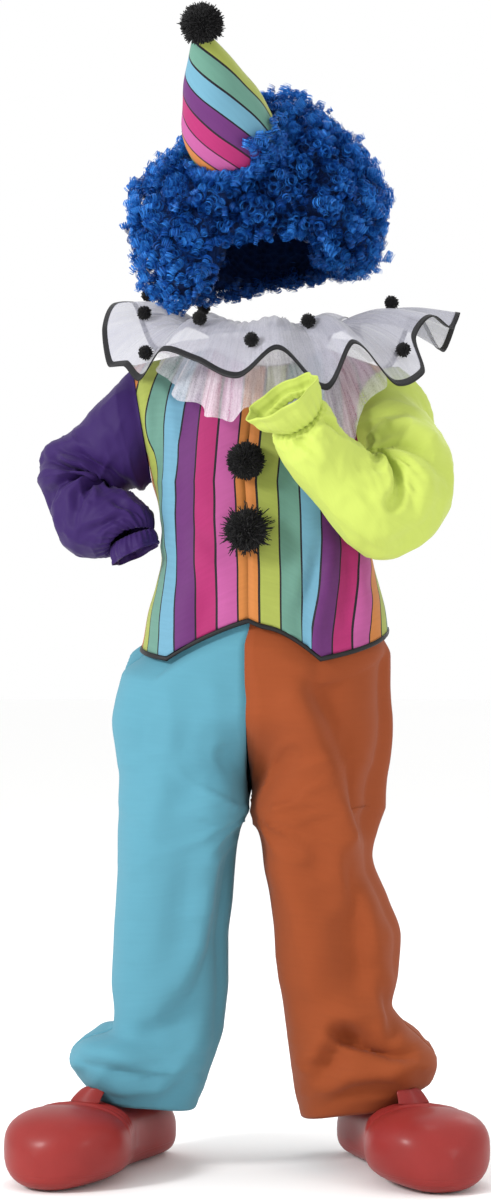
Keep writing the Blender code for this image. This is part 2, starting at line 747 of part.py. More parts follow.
def build_pompom(name, middle, core, radius, away, carrier=None):
    """Yarn pompom: a wound core whose faces are drawn out to locks, flat where it is sewn on.

    away points from what carries it; a carrier is the surface that it is let down to.
    """
    room = core * POMPOM_SEAT
    shape = bmesh.new()
    bmesh.ops.create_icosphere(shape, subdivisions=2, radius=core)
    points = [within_room(vert.co.copy(), away, room) for vert in shape.verts]
    faces = []
    for i, face in enumerate(shape.faces):
        tip = face.calc_center_median().normalized() * radius * LOCK_LENGTHS[i % len(LOCK_LENGTHS)]
        points.append(within_room(tip, away, room))
        a, b, c = [vert.index for vert in face.verts]
        last = len(points) - 1
        faces += [(a, b, last), (b, c, last), (c, a, last)]
    shape.free()
    if carrier:
        for _ in range(8):
            gap = min(carrier.find_nearest(p + middle)[3] for p in points)
            middle = middle - away * (gap - SEAM)
    add_piece(name, [p + middle for p in points], faces, material("black_yarn", "#1B1B1D", 0.95))


def within_room(point, away, room):
    """A point drawn back along its own line so that it stays in front of what carries the pompom."""
    behind = -point.dot(away)
    return point * (room / behind) if behind > room else point


def build_large_pompoms():
    """Two on the centre front seam and one on the tip of the hat."""
    bodice = surface("bodice_front_right", "bodice_front_left")
    for name, height, core, radius in FRONT_POMPOMS:
        x, y = torso_point(min(height, UNDERARM), 0)
        build_pompom(f"pompom_front_{name}", Vector((x, y - core - radius, height)), core, radius,
                     Vector((0, -1, 0)), bodice)
    tip = Vector(HAT_BASE) + HAT_AXIS * HAT_LENGTH
    build_pompom("pompom_hat", tip + HAT_AXIS * (HAT_POMPOM_CORE * POMPOM_SEAT + 2 * SEAM), HAT_POMPOM_CORE,
                 HAT_POMPOM_RADIUS, HAT_AXIS)


# --- Hat ---------------------------------------------------------------------------------------------------

def cone_grid(grow, start, levels):
    """Rings round the hat's axis from near the tip down to the brim, which starts below the base."""
    side = HAT_AXIS.cross(Vector((0, 0, 1))).normalized()
    front = side.cross(HAT_AXIS).normalized()
    rings = []
    for level in levels:
        radius = HAT_TIP_RADIUS + (HAT_RADIUS - HAT_TIP_RADIUS) * level + grow
        middle = Vector(HAT_BASE) + HAT_AXIS * (HAT_LENGTH * (1 - level) - start * level)
        turns = [2 * math.pi * c / HAT_SIDES for c in range(HAT_SIDES)]
        rings.append([middle + (side * math.cos(turn) + front * math.sin(turn)) * radius for turn in turns])
    return rings


def build_hat():
    """Stiffened cone, closed at the tip and open below."""
    tip = Vector(HAT_BASE) + HAT_AXIS * HAT_LENGTH
    levels = (0.0, 0.35, 0.7, 1.0)
    outer = cone_grid(0, 0, levels)
    inner = cone_grid(-FELT, 0, levels)
    inner[0] = [point - HAT_AXIS * FELT for point in inner[0]]
    add_wall("hat_cone", outer, inner, True, material("hat_striped_felt", "#7D3E8C", 0.6),
             poles=[tip, tip - HAT_AXIS * FELT])


# --- Wig ---------------------------------------------------------------------------------------------------

def wig_outer(angle, rise):
    """Outer surface of the curls in a direction from the wig's centre, with soft lumps."""
    turn, tilt = math.radians(angle), math.radians(rise)
    way = Vector((math.sin(turn) * math.cos(tilt), -math.cos(turn) * math.cos(tilt), math.sin(tilt)))
    screen = math.degrees(math.atan2(way.z, way.x))
    if screen < -90:
        screen += 360
    outline = row_at(WIG_OUTLINE, screen)[0]
    radius = 1 / math.sqrt((way.x ** 2 + way.z ** 2) / outline ** 2 + (way.y / WIG_HALF_DEPTH) ** 2)
    lump = math.sin(5 * turn + 2 * tilt) * math.cos(6 * tilt - turn) * math.cos(tilt)
    return Vector(WIG_CENTRE) + way * (radius + WIG_LUMP * (lump * abs(way.y) - 0.2))


def wig_inner(angle, rise):
    """The hollow for a head, on the same line from the wig's centre."""
    turn, tilt = math.radians(angle), math.radians(rise)
    way = Vector((math.sin(turn) * math.cos(tilt), -math.cos(turn) * math.cos(tilt), math.sin(tilt)))
    start = [(c - h) / r for c, h, r in zip(WIG_CENTRE, HEAD_CENTRE, HEAD_RADII)]
    step = [w / r for w, r in zip(way, HEAD_RADII)]
    a = sum(s * s for s in step)
    b = sum(p * s for p, s in zip(start, step))
    c = sum(p * p for p in start) - 1
    return Vector(WIG_CENTRE) + way * ((-b + math.sqrt(b * b - a * c)) / a)


def build_wig():
    """Hollow cap of curls, open below and in front of the face, with a flat seat under the hat."""
    angles = [360 * c / WIG_SIDES - 180 for c in range(WIG_SIDES)]
    outer, inner = [], []
    for r in range(1, WIG_ROWS + 1):
        share = r / WIG_ROWS
        rises = [90 + (row_at(WIG_RIM, angle)[0] - 90) * share for angle in angles]
        outer.append([wig_outer(angle, rise) for angle, rise in zip(angles, rises)])
        inner.append([wig_inner(angle, rise) for angle, rise in zip(angles, rises)])
    poles = [wig_outer(0, 90), wig_inner(0, 90)]
    wig = add_wall("wig", outer, inner, True, material("wig_blue_curls", "#1446A0", 0.5), poles=poles)
    rings = cone_grid(HAT_CLEARANCE, 2 * SEAM, (0.0, 1.0))
    tip = Vector(HAT_BASE) + HAT_AXIS * (HAT_LENGTH + HAT_CLEARANCE)
    base = Vector(HAT_BASE) - HAT_AXIS * 2 * SEAM
    points = rings[0] + rings[1] + [tip, base]
    top, low = 2 * HAT_SIDES, 2 * HAT_SIDES + 1
    faces = []
    for c in range(HAT_SIDES):
        b = (c + 1) % HAT_SIDES
        faces += [(c, b, HAT_SIDES + b, HAT_SIDES + c), (top, b, c), (low, HAT_SIDES + c, HAT_SIDES + b)]
    seat = add_piece("wig_hat_seat_cutter", points, faces, material("wig_blue_curls", "#1446A0", 0.5))
    seat.hide_render = True
    seat.display_type = "WIRE"
    cut = wig.modifiers.new("hat_seat", "BOOLEAN")
    cut.operation = "DIFFERENCE"
    cut.solver = "EXACT"
    cut.object = seat


# --- Shoes -------------------------------------------------------------------------------------------------

def shoe_loft(name, stretch, thinner, low, finish):
    """Closed body of a shoe in its own place: distances from the heel, walls drawn in, lowest level."""
    rings = []
    first, last = stretch
    places = [row[0] for row in SHOE if first <= row[0] <= last]
    for place in places:
        half_width, height = row_at(SHOE, place)
        half_width -= thinner
        top = height - thinner
        ring = []
        for k in range(SHOE_SIDES):
            turn = 2 * math.pi * k / SHOE_SIDES
            side = half_width * power(math.cos(turn), 0.85)
            level = low + (top - low) * (0.5 + 0.5 * power(math.sin(turn), 0.7))
            ring.append(Vector((place, side, level)))
        rings.append(ring)
    points = [p for ring in rings for p in ring]
    faces = []
    for r in range(len(rings) - 1):
        for c in range(SHOE_SIDES):
            a, b = r * SHOE_SIDES + c, r * SHOE_SIDES + (c + 1) % SHOE_SIDES
            faces.append((a, b, b + SHOE_SIDES, a + SHOE_SIDES))
    end = (len(rings) - 1) * SHOE_SIDES
    faces.append(tuple(range(SHOE_SIDES)))
    faces.append(tuple(end + c for c in range(SHOE_SIDES)))
    return add_piece(name, points, faces, finish)


def build_shoe(side):
    """Hollow clown shoe with a ball toe, open at the ankle."""
    finish = material("shoe_red_vinyl", "#B23E3E", 0.3)
    heel_x, heel_y, toe_x, toe_y = SHOE_PLACE[side]
    turn = math.atan2(toe_y - heel_y, toe_x - heel_x)
    shoe = shoe_loft(f"shoe_{side}", SHOE_REACH, 0, 0, finish)
    foot = shoe_loft(f"shoe_{side}_foot_cutter", FOOT_REACH, SHOE_WALL, SHOE_SOLE, finish)
    place, half_length, half_width = ANKLE
    ring = []
    for level in ANKLE_CUT:
        for k in range(ANKLE_SIDES):
            swing = 2 * math.pi * k / ANKLE_SIDES
            ring.append(Vector((place + half_length * math.cos(swing), half_width * math.sin(swing), level)))
    faces = [(k, (k + 1) % ANKLE_SIDES, ANKLE_SIDES + (k + 1) % ANKLE_SIDES, ANKLE_SIDES + k)
             for k in range(ANKLE_SIDES)]
    faces += [tuple(range(ANKLE_SIDES)), tuple(range(ANKLE_SIDES, 2 * ANKLE_SIDES))]
    ankle = add_piece(f"shoe_{side}_ankle_cutter", ring, faces, finish)
    for cutter in (foot, ankle):
        cutter.hide_render = True
        cutter.display_type = "WIRE"
        cut = shoe.modifiers.new(cutter.name, "BOOLEAN")
        cut.operation = "DIFFERENCE"
        cut.solver = "EXACT"
        cut.object = cutter
    foot_place, tip_place, tip_level, half_width, thick, bend_back, taper = TONGUE
    foot_level = row_at(SHOE, foot_place)[1]
    bends = (-1, -0.5, 0, 0.5, 1)
    outer, inner = [], []
    for share in (1.0, 0.5, 0.0):
        place = foot_place + (tip_place - foot_place) * share
        level = foot_level + 3 * SEAM + (tip_level - foot_level) * share
        width = half_width * (1 - taper * share)
        outer.append([Vector((place - bend_back * bend * bend, width * bend, level)) for bend in bends])
        inner.append([point - Vector((thick, 0, 0)) for point in outer[-1]])
    tongue = add_wall(f"shoe_{side}_tongue", outer, inner, False, finish)
    for made in (shoe, foot, ankle, tongue):
        made.location = (heel_x * MM, heel_y * MM, FLOOR * MM)
        made.rotation_euler = (0, 0, turn)


for old in list(bpy.data.objects):
    bpy.data.objects.remove(old, do_unlink=True)
build_bodice()
build_trousers()
build_sleeve("right", RIGHT_SLEEVE, RIGHT_FRILL, material("sleeve_purple_satin", "#482C70", 0.5))
build_sleeve("left", LEFT_SLEEVE, LEFT_FRILL, material("sleeve_neon_yellow_satin", "#C8E05A", 0.5))
build_neckband()
build_ruff()
build_ruff_pompoms()
build_large_pompoms()
build_hat()
build_wig()
for shoe_side in ("right", "left"):
    build_shoe(shoe_side)
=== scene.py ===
"""Clown costume, child size 116: jumpsuit, ruff, wig, cone hat and shoes, dressed over the CAD solids.

Positions are in millimetres in the tables and metres in the meshes. Angles go round the wearer:
0 in front, 90 at the wearer's left, 180 behind, -90 at the wearer's right.
"""

import math
import random

import bmesh
import bpy
from mathutils import Matrix, Vector, noise


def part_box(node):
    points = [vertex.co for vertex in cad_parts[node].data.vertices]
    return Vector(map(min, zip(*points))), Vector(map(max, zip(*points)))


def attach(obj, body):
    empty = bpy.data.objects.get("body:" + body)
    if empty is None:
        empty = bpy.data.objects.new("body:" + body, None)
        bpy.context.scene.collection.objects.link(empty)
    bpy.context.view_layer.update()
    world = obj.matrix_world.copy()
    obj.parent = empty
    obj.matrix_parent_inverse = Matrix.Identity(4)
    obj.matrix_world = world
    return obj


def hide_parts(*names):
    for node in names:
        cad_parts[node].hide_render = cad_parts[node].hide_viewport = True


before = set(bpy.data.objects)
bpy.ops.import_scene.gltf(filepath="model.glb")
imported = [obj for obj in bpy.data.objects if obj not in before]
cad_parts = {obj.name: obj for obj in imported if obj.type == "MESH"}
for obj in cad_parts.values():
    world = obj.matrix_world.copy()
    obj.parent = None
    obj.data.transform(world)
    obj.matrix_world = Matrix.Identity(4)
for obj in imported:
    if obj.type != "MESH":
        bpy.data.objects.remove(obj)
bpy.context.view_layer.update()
MM = 0.001

# --- Camera, floor and light -------------------------------------------------------------------------------
# A standing child seen from the front at chest height with a long lens, on a pale studio floor.
# Large soft lamps stand left, right, above and behind.

camera = bpy.data.objects.new("camera", bpy.data.cameras.new("camera"))
camera.location = (-0.02475, -3.4, -0.2805)
camera.rotation_euler = (math.radians(90), 0, 0)
camera.data.lens = 92.73
camera.data.sensor_width = 36
bpy.context.scene.collection.objects.link(camera)
bpy.context.scene.camera = camera


def linear(code):
    """Linear colour of an sRGB hex code."""
    parts = [int(code[i:i + 2], 16) / 255 for i in (1, 3, 5)]
    return (*[p / 12.92 if p <= 0.04045 else ((p + 0.055) / 1.055) ** 2.4 for p in parts], 1.0)


def material(name, values):
    """A material with values set on its shader's own sockets, its tree and its shader."""
    made = bpy.data.materials.new(name)
    made.use_nodes = True
    shader = made.node_tree.nodes["Principled BSDF"]
    for key, value in values.items():
        shader.inputs[key].default_value = value
    return made, made.node_tree, shader


def wire(node, links):
    """Feeds sockets of a node."""
    for key, source in links.items():
        node.id_data.links.new(source, node.inputs[key])


def add_node(tree, kind, values=None, links=None, **settings):
    """A shader node with its settings, its socket values and the sockets that feed it."""
    node = tree.nodes.new("ShaderNode" + kind)
    for key, value in settings.items():
        setattr(node, key, value)
    for key, value in (values or {}).items():
        node.inputs[key].default_value = value
    wire(node, links or {})
    return node


# Matt paint: no gloss, and white so faintly clouded that only the shadows show on it
floor_paint, paint_tree, paint_shader = material("matt_studio_floor_paint", {"Roughness": 0.9})
paint_spots = add_node(paint_tree, "TexNoise", {"Scale": 3.0, "Detail": 3.0})
paint_mix = add_node(paint_tree, "Mix", {"A": linear("#FBFBFA"), "B": linear("#FFFFFF")},
                     {"Factor": paint_spots.outputs["Fac"]}, data_type="RGBA")
wire(paint_shader, {"Base Color": paint_mix.outputs["Result"]})

bpy.ops.object.select_all(action="DESELECT")
bpy.ops.mesh.primitive_plane_add(size=24, location=(0, 4, -0.9055))
floor = bpy.context.object
floor.name = "studio_floor"
bpy.ops.object.transform_apply(location=True, rotation=True, scale=True)
floor.data.materials.append(floor_paint)

world = bpy.data.worlds.new("studio")
world.use_nodes = True
world.node_tree.nodes["Background"].inputs["Color"].default_value = linear("#FFFFFF")
world.node_tree.nodes["Background"].inputs["Strength"].default_value = 1.0
bpy.context.scene.world = world
bpy.context.scene.view_settings.view_transform = "Standard"

# Name, place, aim, width, power in watts
LAMPS = (
    ("key", (-2.6, -2.0, 1.1), (0, 0, -0.3), 0.7, 90),
    ("fill", (2.6, -2.6, 0.4), (0, 0, -0.4), 0.8, 14),
    ("top", (0.2, 0.4, 2.4), (0, 0, -0.1), 1.0, 16),
    ("back", (1.4, 2.6, 0.9), (0, 0, -0.2), 1.0, 8),
)
for name, place, aim, width, power in LAMPS:
    lamp = bpy.data.objects.new(f"lamp_{name}", bpy.data.lights.new(f"lamp_{name}", "AREA"))
    lamp.data.size = width
    lamp.data.energy = power
    lamp.location = place
    lamp.rotation_euler = (Vector(aim) - Vector(place)).to_track_quat("-Z", "Y").to_euler()
    bpy.context.scene.collection.objects.link(lamp)

# --- Bodice: four panels -----------------------------------------------------------------------------------
# Printed polyester, 0.4 mm, in 23 mm stripes with a thin black line between, cut on the straight grain.
# Front and back are joined at the centre, the sides and the shoulders by plain pressed seams.

CLOTH = 1.0
OVAL = 2.9
UNDERARM = -153
# Height, right side, left side, front, back, turn of the body in degrees
TORSO = (
    (-352, -143, 134, -105, 100, 2.8),
    (-319, -136, 132, -104, 97, 3.4),
    (-292, -131, 129, -103, 94, 4),
    (-264, -123, 122, -101, 90, 4.6),
    (-236, -117, 114, -99, 86, 4.8),
    (-209, -116, 109, -96, 84, 4.6),
    (-182, -120, 106, -94, 84, 3.6),
    (-153, -128, 108, -92, 84, 3),
)
# Angle from the centre front seam, height of the lower edge
HEM = (
    (-180, -302), (-140, -338), (-100, -313), (-90, -330), (-40, -341),
    (0, -300), (20, -341), (90, -310), (140, -338), (180, -302),
)
NECK_HALF_WIDTH, NECK_HALF_DEPTH = 64, 58
NECKLINE_FRONT, NECKLINE_SIDE, NECKLINE_BACK = -28, -4, 0
SHOULDER = {"right": (-150, 14, -22), "left": (131, -14, -28)}
SHOULDER_SHARE = 0.46
NECK_TURN = 12           # how far the centre front seam is turned to the wearer's right at the neckline
ARMHOLE_SCOOP = 40
# A fold on the front left that hides cloth above the hem: from the centre, width hidden, rows up
HIDDEN_FOLD = {"bodice_front_left": (60, 14, 28)}
FOLD_WIDTH = 6           # the print is lost over this width
# Where the print is eased round the underarm: rows up from the hem, millimetres gained 100 mm from the centre
EASED_PRINT = {"bodice_front_right": ((44, 6.5), (33, -4.5))}
EASE_ROWS = 7
STRIPE = 23.0
# Stripes from the centre front seam to the wearer's left, half of the first on each side of it
STRIPE_CODES = ("#B37039", "#919A49", "#5C8477", "#608FA5", "#5B2961", "#97275E", "#A34D84")
# Creases of each panel: half width, rise, then the points x, z that it runs through
BODICE_CREASES = {
    "bodice_front_right": (
        (9, 3.2, (-104, -44), (-109, -130), (-117, -222)),
        (10, -3.6, (-116, -60), (-122, -140), (-124, -210)),
        (13, -2.2, (-88, -196), (-60, -216), (-32, -222)),
        (14, 1.8, (-100, -228), (-64, -250), (-40, -262)),
        (16, 2.4, (-90, -250), (-96, -300), (-100, -340)),
        (12, -2.0, (-62, -262), (-66, -300), (-66, -336)),
    ),
    "bodice_front_left": (
        (8, -6.0, (56, -228), (45, -262), (36, -296), (34, -340)),
        (9, 3.6, (66, -232), (60, -270), (52, -304), (50, -334)),
        (9, -3.6, (82, -214), (86, -246), (84, -280), (82, -322)),
        (11, 2.6, (98, -214), (102, -256), (106, -300)),
        (14, -2.4, (20, -170), (14, -232), (14, -300)),
        (10, -2.6, (64, -196), (86, -206), (108, -214)),
    ),
    "bodice_back_right": (
        (12, -3.2, (-60, -120), (-66, -200), (-58, -280)),
        (13, 2.6, (-84, -140), (-92, -220), (-88, -310)),
        (12, -2.6, (-110, -206), (-70, -226), (-30, -232)),
        (14, -2.4, (-30, -60), (-34, -160), (-28, -230)),
    ),
    "bodice_back_left": (
        (12, -3.4, (54, -110), (62, -200), (56, -290)),
        (13, 2.6, (80, -150), (88, -230), (82, -310)),
        (12, -2.8, (104, -212), (66, -230), (24, -236)),
        (13, -2.2, (30, -60), (28, -150), (34, -220)),
    ),
}


def row_at(table, key):
    """A table's values at any key, on a curve through its rows that never overshoots them."""
    rows = sorted(table)
    key = min(max(key, rows[0][0]), rows[-1][0])
    i = 0
    while i < len(rows) - 2 and key > rows[i + 1][0]:
        i += 1
    step = rows[i + 1][0] - rows[i][0]
    t = (key - rows[i][0]) / step
    ends = (max(i - 1, 0), i, min(i + 1, len(rows) - 2))
    values = []
    for c in range(1, len(rows[0])):
        rise = [(rows[k + 1][c] - rows[k][c]) / (rows[k + 1][0] - rows[k][0]) for k in ends]
        slopes = []
        for before, after in (rise[:2], rise[1:]):
            slopes.append(0.0 if before * after <= 0 else 2 * before * after / (before + after))
        a, b = rows[i][c], rows[i + 1][c]
        values.append(a * (1 + 2 * t) * (1 - t) ** 2 + b * t * t * (3 - 2 * t)
                      + step * (slopes[0] * t * (1 - t) ** 2 - slopes[1] * t * t * (1 - t)))
    return values


def power(value, exponent):
    """A power that keeps the sign."""
    return math.copysign(abs(value) ** exponent, value)


def oval(right_side, left_side, front, back, angle):
    """Point of an oval body section at an angle."""
    turn = math.radians(angle)
    x = (right_side + left_side) / 2 + (left_side - right_side) / 2 * power(math.sin(turn), 2 / OVAL)
    y = (front + back) / 2 - (back - front) / 2 * power(math.cos(turn), 2 / OVAL)
    return x, y


def normals_of(grid, ring):
    """Unit normals of a grid's points, on the side that column direction x row direction points to."""
    rows, columns = len(grid), len(grid[0])
    found = []
    for r in range(rows):
        line = []
        for c in range(columns):
            down = grid[min(r + 1, rows - 1)][c] - grid[max(r - 1, 0)][c]
            if ring:
                along = grid[r][(c + 1) % columns] - grid[r][c - 1]
            else:
                along = grid[r][min(c + 1, columns - 1)] - grid[r][max(c - 1, 0)]
            line.append(along.cross(down).normalized())
        found.append(line)
    return found


def smooth_step(value):
    """0 to 1 with level ends."""
    value = min(1.0, max(0.0, value))
    return value * value * (3 - 2 * value)


def bell(x):
    """1 at 0, falling away evenly on both sides."""
    return math.exp(-x ** 2)


def ripple(x, y, z):
    """Smooth noise at a place, from about -1 to 1."""
    return noise.noise(Vector((x, y, z)))


def nearest_on(path, x, z):
    """How far a place lies from a path, above 0 on the left of its way, and where on the path it is nearest:
    as a share of its length and of its steps."""
    side, where, steps, whole = 1e9, 0.0, 0.0, 0.0
    for i, ((x0, z0), (x1, z1)) in enumerate(zip(path, path[1:])):
        run = math.hypot(x1 - x0, z1 - z0)
        share = min(1.0, max(0.0, ((x - x0) * (x1 - x0) + (z - z0) * (z1 - z0)) / run ** 2))
        away = math.hypot(x - x0 - (x1 - x0) * share, z - z0 - (z1 - z0) * share)
        if away < abs(side):
            side = math.copysign(away, (x1 - x0) * (z - z0) - (z1 - z0) * (x - x0))
            where, steps = whole + run * share, i + share
        whole += run
    return side, where / whole, steps / (len(path) - 1)


def crease_rise(creases, x, z, seed):
    """Height of the creases over a point of a flat panel: soft, uneven, with a lip along each side."""
    rise = 0.0
    wander = ripple(x / 24, z / 24, seed) * 0.5
    for half_width, height, *path in creases:
        side, travelled, _ = nearest_on(path, x, z)
        fade = min(1.0, 0.25 + 3.2 * travelled * (1.1 - travelled))
        reach = abs(side) / half_width + wander
        rise += height * fade * (bell(reach) - 0.3 * bell((abs(reach) - 1.9) / 0.8))
    return rise


def add_wall(piece, thickness, offset=-1):
    """Thickness in millimetres for a surface, inwards unless the offset is 1."""
    wall = piece.modifiers.new("wall", "SOLIDIFY")
    wall.thickness = thickness * MM
    wall.offset = offset


def mesh_piece(name, points, faces, finish):
    """A smooth object of one material from points in millimetres."""
    mesh = bpy.data.meshes.new(name)
    mesh.from_pydata([tuple(p * MM) for p in points], [], faces)
    mesh.shade_smooth()
    mesh.materials.append(finish)
    made = bpy.data.objects.new(name, mesh)
    bpy.context.scene.collection.objects.link(made)
    return made


def cloth_piece(name, grid, finish, ring=False, mirrored=False, rise=None, across=None, level=False,
                thickness=CLOTH):
    """A sheet of cloth from a grid of points in millimetres, thickened inwards.

    rise gives how far a point of row r and column c is lifted. The UV map holds millimetres of flat cloth:
    U from the first column, or from across, and V from the first row. Level measures U without the slope
    of the rows, where they follow a slanted edge.
    """
    if mirrored:
        grid = [line[::-1] for line in grid]
    rows, columns = len(grid), len(grid[0])
    plain = grid
    if rise:
        facing = normals_of(grid, ring)
        grid = [[p + facing[r][c] * rise(r, columns - 1 - c if mirrored else c, p)
                 for c, p in enumerate(line)] for r, line in enumerate(grid)]
    steps = columns if ring else columns - 1
    faces = [(r * columns + c, r * columns + (c + 1) % columns, (r + 1) * columns + (c + 1) % columns,
              (r + 1) * columns + c) for r in range(rows - 1) for c in range(steps)]
    made = mesh_piece(name, [p for line in grid for p in line], faces, finish)
    places = []
    down = [0.0] * columns
    for r, line in enumerate(plain):
        u, row = 0.0, []
        for c in range(steps + 1):
            if c:
                run = line[c % columns] - line[c - 1]
                u += math.hypot(run.x, run.y) if level else run.length
            row.append(u)
        if mirrored:
            row = [row[-1] - u for u in row]
        if r:
            down = [v + (line[c] - plain[r - 1][c]).length for c, v in enumerate(down)]
        places.append([(across(r, c, u) if across else u, down[c % columns]) for c, u in enumerate(row)])
    layer = made.data.uv_layers.new(name="cloth")
    for i, face in enumerate(made.data.polygons):
        r, c = divmod(i, steps)
        for loop, (dr, dc) in zip(face.loop_indices, ((0, 0), (0, 1), (1, 1), (1, 0))):
            layer.data[loop].uv = places[r + dr][c + dc]
    if thickness:
        add_wall(made, thickness)
    return made


THREAD = 1.1             # millimetres; real threads of 0.4 mm are too fine to show, so they are drawn coarser
WAVE_EACH_MM = 0.314     # scale at which a wave texture repeats with each millimetre


def polyester(name, code, roughness, slub=0.10):
    """Woven polyester: fine crossing threads, faint slubs and a soft sheen."""
    made, tree, shader = material(name, {"Roughness": roughness, "Sheen Weight": 0.05, "Sheen Roughness": 0.5,
                                         "Specular IOR Level": 0.16})
    place = add_node(tree, "UVMap", uv_map="cloth")
    warp, weft = (add_node(tree, "TexWave",
                           {"Scale": WAVE_EACH_MM / THREAD, "Distortion": 0.6, "Detail": 1.0},
                           {"Vector": place.outputs["UV"]}, bands_direction=way) for way in "XY")
    weave = add_node(tree, "Math", {}, {0: warp.outputs["Fac"], 1: weft.outputs["Fac"]},
                     operation="ADD")
    bump = add_node(tree, "Bump", {"Strength": 0.12, "Distance": 0.0004},
                    {"Height": weave.outputs[0]})
    stretch = add_node(tree, "Mapping", {"Scale": (0.02, 0.25, 1)}, {"Vector": place.outputs["UV"]})
    slubs = add_node(tree, "TexNoise", {"Scale": 1.0, "Detail": 4.0},
                     {"Vector": stretch.outputs["Vector"]})
    shade = add_node(tree, "MapRange", {"To Min": 1 - slub, "To Max": 1 + slub},
                     {"Value": slubs.outputs["Fac"]})
    dye = add_node(tree, "HueSaturation", {"Color": linear(code)}, {"Value": shade.outputs[0]})
    wire(shader, {"Base Color": dye.outputs["Color"], "Normal": bump.outputs["Normal"]})
    return made


LINE_INK = "#1E1A20"


def print_stripes(finish, codes, stripe, line, offset):
    """Stripes of equal width with a thin black line between them, along the cloth's length."""
    tree = finish.node_tree
    dye = next(node for node in tree.nodes if node.type == "HUE_SAT")
    place = add_node(tree, "UVMap", uv_map="cloth")
    across = add_node(tree, "SeparateXYZ", {}, {0: place.outputs["UV"]})
    moved = add_node(tree, "Math", {1: offset}, {0: across.outputs["X"]}, operation="ADD")
    turn = add_node(tree, "Math", {1: stripe * len(codes)}, {0: moved.outputs[0]},
                    operation="FLOORED_MODULO")
    share = add_node(tree, "Math", {1: stripe * len(codes)}, {0: turn.outputs[0]},
                     operation="DIVIDE")
    ramp = add_node(tree, "ValToRGB", {}, {0: share.outputs[0]})
    ramp.color_ramp.interpolation = "CONSTANT"
    half = line / stripe / len(codes) / 2
    stops = []
    for i, code in enumerate(codes):
        stops.append((i / len(codes) + half, code))
        stops.append(((i + 1) / len(codes) - half, LINE_INK))
    elements = ramp.color_ramp.elements
    elements[0].color = linear(LINE_INK)
    elements[1].position, elements[1].color = stops[0][0], linear(stops[0][1])
    for position, code in stops[1:]:
        elements.new(position).color = linear(code)
    wire(dye, {"Color": ramp.outputs["Color"]})


def torso_point(height, angle):
    """Outer surface of the bodice below the underarm; angle 0 is the centre front seam."""
    right_side, left_side, front, back, turn = row_at(TORSO, height)
    return oval(right_side, left_side, front, back, angle - turn)


def hem_height(angle):
    """Height of the bodice's lower edge, straight from point to point."""
    for (a, low), (b, high) in zip(HEM, HEM[1:]):
        if a <= angle <= b:
            return low + (high - low) * (angle - a) / (b - a)
    return HEM[0][1]


def neckline_point(angle):
    """Point on the neckline, lower in front than at the sides and the back."""
    turn = math.radians(angle)
    end = NECKLINE_FRONT if math.cos(turn) > 0 else NECKLINE_BACK
    height = NECKLINE_SIDE + (end - NECKLINE_SIDE) * math.cos(turn) ** 2
    return Vector((NECK_HALF_WIDTH * math.sin(turn), -NECK_HALF_DEPTH * math.cos(turn), height))


def panel_angle(sign, face, across):
    """Angle round the body from the centre seam of the front or the back to the side seam."""
    return sign * (90 * across if face == "front" else 180 - 90 * across)


def upper_panel_point(side, face, across, up):
    """Panel above the underarm: up 0 is the underarm level and 1 the shoulder line."""
    sign = 1 if side == "left" else -1
    x, y = torso_point(UNDERARM, panel_angle(sign, face, across))
    neck_share = 1 - SHOULDER_SHARE
    if across < neck_share:
        swing = 90 * across / neck_share
        top = neckline_point(sign * swing - NECK_TURN * math.cos(math.radians(swing)) if face == "front"
                             else sign * (180 - swing))
    else:
        top = neckline_point(sign * 90).lerp(Vector(SHOULDER[side]), (across - neck_share) / SHOULDER_SHARE)
    forward = -1 if face == "front" else 1
    return Vector((
        x + (top.x - x) * up,
        top.y + (y - top.y) * math.sqrt(1 - up * up)
        + forward * ARMHOLE_SCOOP * math.sin(math.pi * up) * across ** 4,
        UNDERARM + (top.z - UNDERARM) * up,
    ))


def seam_dip(place, whole, depth, reach):
    """How far the cloth is drawn in beside a seam at either end of a row."""
    return -depth * bell(min(place, whole - place) / reach)


